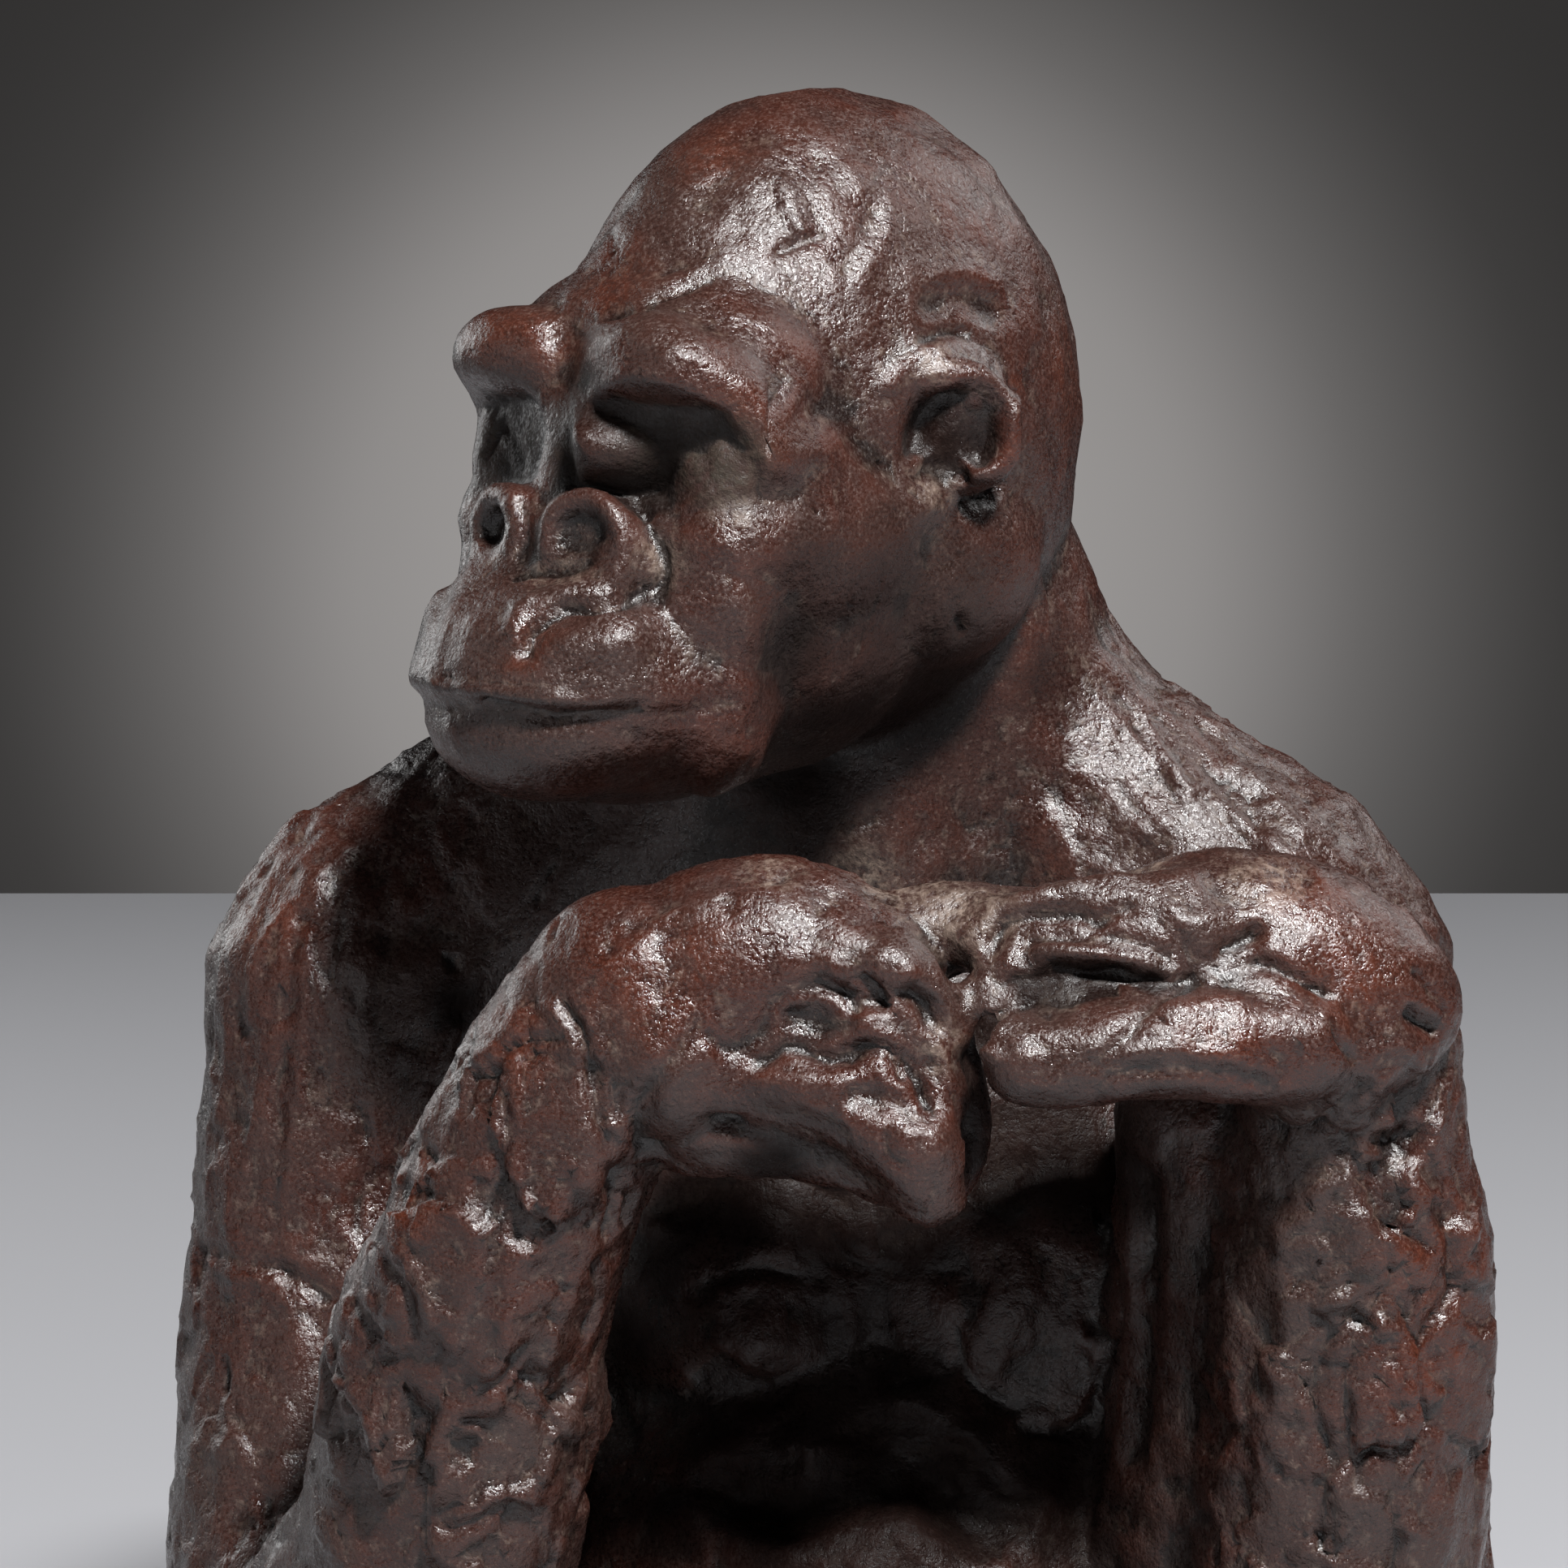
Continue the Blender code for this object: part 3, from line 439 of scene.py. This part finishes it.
# Hollows that are filled up again: how deep in mm they stay, then pixels on their rims.
# A fill is full over the rim's reach and fades out up to FILL_REACH of it.
FILL_REACH = 1.35
FILL_FADE = 0.35
DEEPEST_FILL = 16 * MM
FILLS = [
    (0.8, [(720, 530), (764, 478), (850, 486), (925, 530), (950, 590), (870, 612), (802, 626),
           (745, 596)]),
    (1.4, [(596, 500), (640, 486), (690, 500), (700, 560), (690, 600), (600, 590)]),
    (1.6, [(668, 662), (684, 628), (720, 616), (752, 634), (762, 668), (742, 696), (700, 700)]),
    (1.4, [(598, 655), (612, 630), (640, 640), (646, 680), (620, 700)]),
    (2.4, [(1112, 520), (1140, 470), (1190, 462), (1228, 490), (1238, 540), (1210, 580), (1150, 590),
           (1116, 560)]),
    (0.5, [(1230, 1150), (1262, 1112), (1340, 1104), (1404, 1104), (1410, 1150), (1340, 1166),
           (1262, 1172)]),
    (2.2, [(1212, 1200), (1250, 1166), (1340, 1162), (1440, 1160), (1540, 1170), (1552, 1214),
           (1480, 1240), (1400, 1246), (1320, 1248), (1230, 1252)]),
]
ALL_MARKS = FACE_MARKS + SKULL_MARKS + EAR_MARKS + HAND_R_MARKS + HAND_L_MARKS + ARM_MARKS + CHEST_MARKS


def photo_line(tree, pixels):
    """A smooth curve on the skin through the places seen at some pixels."""
    places = [photo_point(tree, x, y) for x, y in pixels]
    places = [place for place in places if place is not None]
    return smooth_line(places, LINE_STEPS) if len(places) > 1 else np.array(places)


def zone(points, tree, spots, soft=0.5):
    """How far each point belongs to balls round spots, given as pixel x and y, radius in
    mm and, if it isn't full, strength."""
    total = np.zeros(len(points))
    for x, y, radius, *strength in spots:
        place = photo_point(tree, x, y)
        if place is None:
            continue
        away = np.linalg.norm(points - place, axis=1) / (radius * MM)
        share = np.clip((1 - away) / soft, 0, 1)
        full = strength[0] if strength else 1
        total = np.maximum(total, share * share * (3 - 2 * share) * full)
    return total


# Where the surface is worked in its own way: the head's balls in mm, the rest as spots
HEAD_BALLS = [(-3, -12, 290, 80), (-50, -58, 255, 56), (-28, -36, 286, 70)]
SOCKETS = [(770, 545, 11), (830, 550, 13), (890, 565, 11), (720, 560, 9), (620, 540, 12), (660, 555, 10)]
FOREARM_R = [(480, 1750, 34), (560, 1560, 32), (640, 1420, 28), (600, 1850, 34)]
ARM_L = [(1700, 1480, 30), (1700, 1640, 34), (1690, 1820, 36), (1690, 1380, 18)]
UPPER_ARM_R = [(380, 1150, 40), (340, 1330, 40), (420, 1450, 34)]
CHEST_ARCS = [(900, 1500, 24), (970, 1500, 22)]


def pressed_clay(base, tree):
    """The height in mm of the worked surface over the smooth masses."""
    head = near(base, HEAD_BALLS, 0.2)
    hands = zone(base, tree, [(930, 1220, 36), (1080, 1300, 26), (1350, 1200, 36), (1560, 1220, 34)])
    arms = zone(base, tree, FOREARM_R + ARM_L)
    plain = np.clip(1 - head - 0.8 * hands, 0, 1)

    # Uneven masses, thumbed lumps and fine roughness
    warp = np.stack([rough(base, 16 * MM, seed) for seed in (1, 2, 3)], axis=1)
    height = rough(base, 26 * MM, 51) * (1.3 * plain + 0.5 * head + 0.4 * hands)
    height += rough(base, 7 * MM, 61) * (0.55 * plain + 0.2 * head + 0.4 * hands)
    height += rough(base, 2.6 * MM, 71, 2) * (0.22 * plain + 0.1 * head + 0.2 * hands)

    # Pellets pressed on, big ones and small ones, with torn edges here and there
    drawn_out = base * (1, 1, 0.7) + warp * 5 * MM
    stand, edge = pellets(drawn_out, 17 * MM, 11)
    height += stand * (1.5 * arms + 0.6 * plain + 0.25 * head)
    torn = np.clip(rough(base, 22 * MM, 81) * 2.5 + 0.2, 0, 1)
    height -= np.exp(-((edge / 0.06) ** 2)) * torn * (1.0 * arms + 0.35 * plain)
    stand, edge = pellets(base + warp * 2.5 * MM, 6.5 * MM, 31)
    height += stand * (0.7 * arms + 0.3 * plain + 0.12 * head + 0.25 * hands)
    height -= np.exp(-((edge / 0.08) ** 2)) * torn * (0.45 * arms + 0.2 * plain + 0.2 * hands)

    # Crumbled clay in the sockets, and strokes on the arm, the shoulder and the chest
    socket = zone(base, tree, SOCKETS)
    height += (rough(base, 2.8 * MM, 91, 2) * 0.5 + rough(base, 7 * MM, 92, 2) * 0.3) * socket
    bristle = combed(base + warp * 2 * MM, (0.1, 0.1, 1), 2.4 * MM, 101)
    height += bristle * zone(base, tree, UPPER_ARM_R) * 0.55
    shoulder = zone(base, tree, [(1500, 990, 40), (1640, 1050, 30)])
    height += combed(base, (0.62, -0.2, -0.6), 2.6 * MM, 111) * shoulder * 0.5
    centre = photo_point(tree, 900, 1660)
    ring = np.linalg.norm((base - centre) * (1, 0.3, 1), axis=1)
    rings = np.stack([ring / (2.2 * MM), base[:, 0] / (26 * MM), base[:, 2] / (26 * MM)], axis=1)
    arc = hills(rings, 1, 121)
    height += arc * zone(base, tree, CHEST_ARCS) * 0.6
    return height


def fill(points, base, tree, sunk, rim):
    """Fills a hollow up to a plane through its rim, less the depth that it keeps."""
    rim = [photo_point(tree, x, y) for x, y in rim]
    rim = np.array([place for place in rim if place is not None])
    middle = rim.mean(0)
    axes = np.linalg.svd(rim - middle)[2]
    normal = axes[2] * np.sign(axes[2] @ np.array(TOWARDS_CAMERA))
    reach = np.abs((rim - middle) @ axes[:2].T).max(0)
    height = (base - middle) @ normal
    away = np.linalg.norm((base - middle) @ axes[:2].T / reach, axis=1)
    share = np.clip((FILL_REACH - away) / FILL_FADE, 0, 1) * (height > -DEEPEST_FILL)
    lift = np.clip(-sunk * MM - height, 0, None) * share * share * (3 - 2 * share)
    points += normal * lift[:, None]


def work_skin(skin):
    """Presses the folds, pellets and tool marks into the skin."""
    mesh = skin.data
    points = read_vectors(mesh.vertices, "co")
    normals = read_vectors(mesh.vertices, "normal")
    low, high = points.min(0), points.max(0)
    faces = [tuple(face.vertices) for face in mesh.polygons]
    tree = BVHTree.FromPolygons([Vector(point) for point in points], faces)
    base = points.copy()
    height = pressed_clay(base, tree)
    for sunk, rim in FILLS:
        fill(points, base, tree, sunk, rim)
    wobble = np.stack([rough(base, 6 * MM, seed, 2) for seed in (5, 6, 7)], axis=1) * 1.1 * MM
    for width, depth, sharp, pixels in ALL_MARKS:
        line = photo_line(tree, pixels)
        if len(line):
            draw(points, normals, wobble, line, width * MM, depth * MM, sharp)
    points += normals * (height * MM)[:, None]
    sole = base[:, 2] < 1.5 * MM
    points[sole, 2] = base[sole, 2]
    points = np.clip(points, low, high)
    mesh.vertices.foreach_set("co", points.astype(np.float32).ravel())
    mesh.update()
    return tree


def thin_out(skin):
    """Brings the skin down to the most triangles that it may have."""
    triangles = sum(len(face.vertices) - 2 for face in skin.data.polygons)
    if triangles <= MOST_TRIANGLES:
        return skin
    decimate = skin.modifiers.new("thin", "DECIMATE")
    decimate.ratio = MOST_TRIANGLES / triangles
    return settled(skin)


def evened(values, edges, rounds):
    """Values spread over the neighbouring points, a number of times."""
    count = np.bincount(edges.ravel(), minlength=len(values))[:, None].clip(1)
    for _ in range(rounds):
        total = np.zeros_like(values)
        for column in range(values.shape[1]):
            total[:, column] = np.bincount(edges[:, 0], values[edges[:, 1], column], len(values))
            total[:, column] += np.bincount(edges[:, 1], values[edges[:, 0], column], len(values))
        values = 0.5 * values + 0.5 * total / count
    return values


def write_values(mesh, name, values):
    """Stores one number for each point under a name."""
    layer = mesh.attributes.new(name, "FLOAT", "POINT")
    layer.data.foreach_set("value", np.ascontiguousarray(values, np.float32))


# How deep a full pit and a full hollow are
PIT_DEPTH = 0.22 * MM
HOLLOW_DEPTH = 0.9 * MM

# Spots on the photograph: pixel x and y, radius in mm and, if it isn't full, strength
DUST_SPOTS = [
    (812, 690, 7), (700, 704, 5), (660, 708, 4), (1150, 446, 6), (1150, 598, 7), (1190, 1130, 12),
    (1120, 1090, 12), (1060, 1075, 10), (900, 625, 6), (950, 1070, 8), (1165, 1290, 6), (1310, 1235, 5),
    (1410, 1070, 8), (1560, 1080, 10),
]
RUST_SPOTS = [
    (600, 410, 9), (650, 400, 9), (700, 440, 8), (940, 560, 7), (915, 500, 6), (760, 350, 12),
    (880, 190, 12), (1250, 480, 6), (1252, 560, 6), (1315, 450, 16), (800, 1220, 17), (850, 1180, 12),
    (1500, 1275, 12), (1660, 1200, 16), (1600, 1110, 14), (1750, 1560, 16), (1760, 1680, 14),
    (340, 1120, 16), (500, 1480, 16), (640, 1290, 12), (710, 1690, 10), (1290, 1090, 9), (660, 780, 8),
    (640, 820, 6), (1480, 1440, 8),
]
# Painted shade: spots that are darkened and lose their shine where shade falls, in the eye sockets and the
# ear, under the jaw and chin, between and under the hands, in the chest hollow and on the belly
PAINTED_SHADE_SPOTS = [
    (1190, 540, 8, 0.6), (1160, 520, 7, 0.6), (800, 540, 16, 0.4), (880, 575, 14, 0.5),
    (720, 550, 12, 0.4), (768, 562, 14), (740, 538, 16), (820, 575, 13, 0.8), (640, 540, 14, 0.5),
    (1120, 860, 24), (1040, 900, 24), (980, 960, 16), (1170, 800, 16, 0.7), (1080, 760, 26, 0.6),
    (980, 800, 18, 0.7), (1000, 700, 14, 0.4), (1190, 700, 16, 0.4), (1184, 1300, 8), (1214, 1266, 16),
    (1205, 1340, 16), (1262, 1212, 4), (1290, 1214, 8), (1345, 1207, 6), (1420, 1206, 4),
    (1240, 1420, 22), (1300, 1400, 20), (1380, 1400, 18), (1150, 1870, 26), (980, 1880, 26),
    (1080, 1925, 24), (1300, 1860, 24), (830, 1880, 16), (1100, 1740, 24, 0.9), (960, 1760, 24, 0.9),
    (1160, 545, 9), (1200, 1420, 8), (950, 1440, 10), (560, 1240, 9), (860, 1480, 16), (930, 1480, 20),
    (1020, 1500, 20), (1120, 1520, 20, 0.9), (1220, 1460, 18), (1320, 1440, 20), (820, 1560, 14, 0.9),
    (900, 1600, 22, 0.75), (1040, 1600, 22, 0.8), (950, 1680, 24, 0.6), (1100, 1660, 20, 0.6),
    (1250, 1640, 26, 0.5), (1050, 1770, 22), (900, 1810, 20), (1180, 1800, 18), (1080, 1880, 26, 0.5),
    (780, 1650, 14, 0.9), (1400, 1450, 16, 0.8), (1450, 1650, 28, 0.45), (1430, 1850, 28, 0.45),
    (700, 1060, 20, 0.3), (980, 1010, 24, 0.7), (1160, 780, 22, 0.4), (1290, 840, 12, 0.5),
]


def mark_finish(figure, tree):
    """Stores on each point how deep it lies, which finish it carries and where shade is painted."""
    mesh = figure.data
    points = read_vectors(mesh.vertices, "co")
    normals = read_vectors(mesh.vertices, "normal")
    edges = np.empty(len(mesh.edges) * 2, np.int32)
    mesh.edges.foreach_get("vertices", edges)
    edges = edges.reshape(-1, 2)
    fine = evened(points, edges, 4)
    wide = evened(fine, edges, 30)
    close = ((fine - points) * normals).sum(1) / PIT_DEPTH
    broad = ((wide - fine) * normals).sum(1) / HOLLOW_DEPTH
    write_values(mesh, "pit", np.clip(close, -1, 1))
    write_values(mesh, "hollow", np.clip(broad, -1, 1))
    write_values(mesh, "dust", zone(points, tree, DUST_SPOTS, 0.8))
    write_values(mesh, "rust", zone(points, tree, RUST_SPOTS, 0.9))
    write_values(mesh, "painted_shade", zone(points, tree, PAINTED_SHADE_SPOTS, 0.8))
    write_values(mesh, "crumb", zone(points, tree, SOCKETS, 0.6))


class Nodes:
    """Short ways to build one material's nodes."""

    def __init__(self, material):
        self.tree = material.node_tree

    def add(self, kind, **settings):
        node = self.tree.nodes.new("ShaderNode" + kind)
        for name, value in settings.items():
            setattr(node, name, value)
        return node

    def feed(self, socket, value):
        if isinstance(value, bpy.types.NodeSocket):
            self.tree.links.new(value, socket)
        else:
            socket.default_value = value

    def value(self, name):
        return self.add("Attribute", attribute_name=name).outputs["Fac"]

    def noise(self, place, scale, detail, roughness):
        node = self.add("TexNoise")
        self.feed(node.inputs["Vector"], place)
        self.feed(node.inputs["Scale"], scale)
        self.feed(node.inputs["Detail"], detail)
        self.feed(node.inputs["Roughness"], roughness)
        return node.outputs["Fac"]

    def work_out(self, kind, first, second):
        node = self.add("Math", operation=kind)
        self.feed(node.inputs[0], first)
        self.feed(node.inputs[1], second)
        return node.outputs[0]

    def plus(self, first, second):
        return self.work_out("ADD", first, second)

    def minus(self, first, second):
        return self.work_out("SUBTRACT", first, second)

    def times(self, first, second):
        return self.work_out("MULTIPLY", first, second)

    def ranged(self, value, low, high, to_low=0.0, to_high=1.0):
        node = self.add("MapRange")
        for name, given in zip(("Value", "From Min", "From Max", "To Min", "To Max"),
                               (value, low, high, to_low, to_high)):
            self.feed(node.inputs[name], given)
        return node.outputs[0]

    def blend(self, share, first, second, kind="MIX"):
        node = self.add("Mix", data_type="RGBA", blend_type=kind)
        self.feed(node.inputs[0], share)
        self.feed(node.inputs[6], first)
        self.feed(node.inputs[7], second)
        return node.outputs[2]

    def bump(self, height, strength, distance, normal=None):
        node = self.add("Bump")
        self.feed(node.inputs["Strength"], strength)
        self.feed(node.inputs["Distance"], distance)
        self.feed(node.inputs["Height"], height)
        if normal is not None:
            self.feed(node.inputs["Normal"], normal)
        return node.outputs["Normal"]


PURPLE_BROWN = (0.026, 0.0085, 0.006, 1)
GREY_BROWN = (0.029, 0.014, 0.011, 1)
RUST_RED = (0.060, 0.016, 0.0085, 1)
DUST_TAN = (0.24, 0.18, 0.14, 1)
# The colour of the painted shade
PAINTED_SHADE_BLACK = (0.006, 0.004, 0.0035, 1)
OLIVE_DUST = (0.034, 0.024, 0.015, 1)
GRAIN_PIT_SHADE = (0.3, 0.27, 0.26, 1)


def finish_material():
    """Brown patina over clay: rubbed red on the high points, dusty in the folds, with painted shade in the
    hollows, the pits and the listed shade spots.
    """
    material = bpy.data.materials.new("patinated_clay")
    material.use_nodes = True
    nodes = Nodes(material)
    shader = material.node_tree.nodes["Principled BSDF"]
    place = nodes.add("TexCoord").outputs["Object"]
    pit, hollow = nodes.value("pit"), nodes.value("hollow")
    dust, rust = nodes.value("dust"), nodes.value("rust")
    painted_shade, crumb = nodes.value("painted_shade"), nodes.value("crumb")
    broad = nodes.noise(place, 28, 5, 0.6)
    middle = nodes.noise(place, 110, 5, 0.6)
    small = nodes.noise(place, 480, 4, 0.65)
    grain = nodes.noise(place, 1500, 3, 0.65)

    colour = nodes.blend(nodes.ranged(broad, 0.4, 0.6), PURPLE_BROWN, GREY_BROWN)
    worn = nodes.plus(nodes.ranged(pit, 0.1, -0.8), nodes.ranged(middle, 0.5, 0.72))
    worn = nodes.times(worn, nodes.ranged(broad, 0.35, 0.62, 0.6, 0.1))
    worn = nodes.plus(nodes.times(rust, nodes.ranged(small, 0.3, 0.6)), worn)
    colour = nodes.blend(nodes.ranged(worn, 0.15, 1.5, 0, 0.9), colour, RUST_RED)
    lodged = nodes.times(nodes.ranged(small, 0.42, 0.66), nodes.ranged(pit, -0.1, 0.6, 0.25, 1))
    thick = nodes.times(dust, nodes.ranged(small, 0.4, 0.64, 0.05, 0.5))
    lodged = nodes.plus(nodes.times(lodged, 0.28), thick)
    colour = nodes.blend(nodes.ranged(lodged, 0.05, 1.1, 0, 0.85), colour, DUST_TAN)
    colour = nodes.blend(nodes.times(crumb, nodes.ranged(small, 0.3, 0.65)), colour, OLIVE_DUST)
    # Painted shade: the colour darkens towards near-black in the hollows and pits and in the painted shade
    # spots
    painted_hollow_shade = nodes.plus(nodes.ranged(hollow, 0.1, 1.1), nodes.ranged(pit, 0.45, 1.3))
    painted_hollow_shade = nodes.plus(painted_hollow_shade, nodes.times(painted_shade, 1.3))
    colour = nodes.blend(nodes.ranged(painted_hollow_shade, 0.1, 1.2, 0, 0.85), colour, PAINTED_SHADE_BLACK)
    # Painted shade: the colour darkens in the low points of the fine grain and middle bumps
    grain_pit_shade = nodes.ranged(grain, 0.34, 0.54, 0.75, 0.0)
    grain_pit_shade = nodes.times(grain_pit_shade, nodes.ranged(middle, 0.36, 0.6, 1, 0.35))
    colour = nodes.blend(grain_pit_shade, colour, GRAIN_PIT_SHADE, "MULTIPLY")
    speck = nodes.times(nodes.ranged(grain, 0.6, 0.7, 0, 0.16), nodes.ranged(painted_shade, 0.1, 0.6, 1, 0.15))
    colour = nodes.blend(speck, colour, DUST_TAN)
    nodes.feed(shader.inputs["Base Color"], colour)

    gloss = nodes.ranged(middle, 0.35, 0.65, 0.13, 0.26)
    gloss = nodes.plus(gloss, nodes.times(nodes.ranged(lodged, 0.1, 1.0), 0.35))
    gloss = nodes.plus(gloss, nodes.times(crumb, 0.3))
    gloss = nodes.plus(gloss, nodes.times(painted_shade, 0.12))
    gloss = nodes.minus(gloss, nodes.times(rust, 0.08))
    gloss = nodes.plus(gloss, nodes.ranged(grain, 0.4, 0.62, -0.05, 0.28))
    nodes.feed(shader.inputs["Roughness"], gloss)
    # Painted shade: the shine is dimmed where the painted shade spots lie
    nodes.feed(shader.inputs["Specular Tint"], nodes.ranged(painted_shade, 0.0, 1.0, 1.0, 0.08))

    normal = nodes.bump(middle, 0.5, 2.0 * MM)
    normal = nodes.bump(small, 0.45, 0.75 * MM, normal)
    normal = nodes.bump(grain, 0.5, 0.36 * MM, normal)
    nodes.feed(shader.inputs["Normal"], normal)
    return material


def area_light(name, place, size, power):
    lamp = bpy.data.lights.new(name, "AREA")
    lamp.size = size
    lamp.energy = power
    light = bpy.data.objects.new(name, lamp)
    light.location = place
    light.rotation_euler = (CAMERA_TARGET - Vector(place)).to_track_quat("-Z", "Y").to_euler()
    bpy.context.scene.collection.objects.link(light)


def tinted(grey):
    return (*(grey * tint for tint in BACKDROP_TINT), 1)


def backdrop():
    """A soft grey backdrop that only the camera sees, with a painted pool of light that darkens towards
    its edges, over a dim even room light.
    """
    world = bpy.data.worlds.new("room")
    world.use_nodes = True
    tree = world.node_tree
    room = tree.nodes["Background"]
    room.inputs["Color"].default_value = ROOM_LIGHT
    seen = tree.nodes.new("ShaderNodeBackground")
    place = tree.nodes.new("ShaderNodeTexCoord")
    middle = tree.nodes.new("ShaderNodeVectorMath")
    middle.operation = "DISTANCE"
    middle.inputs[1].default_value = BACKDROP_MIDDLE
    ramp = tree.nodes.new("ShaderNodeValToRGB")
    ramp.color_ramp.interpolation = "B_SPLINE"
    for element, (position, grey) in zip(ramp.color_ramp.elements, BACKDROP_GREYS[:2]):
        element.position = position
        element.color = tinted(grey)
    for position, grey in BACKDROP_GREYS[2:]:
        ramp.color_ramp.elements.new(position).color = tinted(grey)
    path = tree.nodes.new("ShaderNodeLightPath")
    mix = tree.nodes.new("ShaderNodeMixShader")
    tree.links.new(place.outputs["Generated"], middle.inputs[0])
    tree.links.new(middle.outputs["Value"], ramp.inputs["Fac"])
    tree.links.new(ramp.outputs["Color"], seen.inputs["Color"])
    tree.links.new(path.outputs["Is Camera Ray"], mix.inputs["Fac"])
    tree.links.new(room.outputs["Background"], mix.inputs[1])
    tree.links.new(seen.outputs["Background"], mix.inputs[2])
    tree.links.new(mix.outputs["Shader"], tree.nodes["World Output"].inputs["Surface"])
    bpy.context.scene.world = world


def studio():
    """Floor, lights and camera."""
    scene = bpy.context.scene
    scene.view_settings.view_transform = "Standard"
    bpy.ops.mesh.primitive_plane_add(size=2, location=TABLE_MIDDLE)
    floor = bpy.context.object
    floor.scale = TABLE_HALF
    floor.name = "floor"
    paint = bpy.data.materials.new("pale_table")
    paint.use_nodes = True
    shader = paint.node_tree.nodes["Principled BSDF"]
    shader.inputs["Base Color"].default_value = TABLE_COLOUR
    shader.inputs["Roughness"].default_value = TABLE_ROUGHNESS
    floor.data.materials.append(paint)
    backdrop()
    for lamp in LAMPS:
        area_light(*lamp)
    camera = bpy.data.objects.new("camera", bpy.data.cameras.new("camera"))
    camera.location = CAMERA_PLACE
    camera.rotation_euler = (-TOWARDS_CAMERA).to_track_quat("-Z", "Y").to_euler()
    camera.data.sensor_width = SENSOR_WIDTH
    camera.data.lens = SENSOR_WIDTH * FOCAL_PIXELS / PHOTO_SIZE
    scene.collection.objects.link(camera)
    scene.camera = camera


def main():
    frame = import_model()
    skin = fine_skin(frame["nodes"][NODE])
    tree = work_skin(skin)
    figure = thin_out(skin)
    figure.name = "gorilla"
    mark_finish(figure, tree)
    figure.data.materials.clear()
    figure.data.materials.append(finish_material())
    figure.data.shade_smooth()
    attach(figure, "root")
    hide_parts(NODE)
    studio()


main()
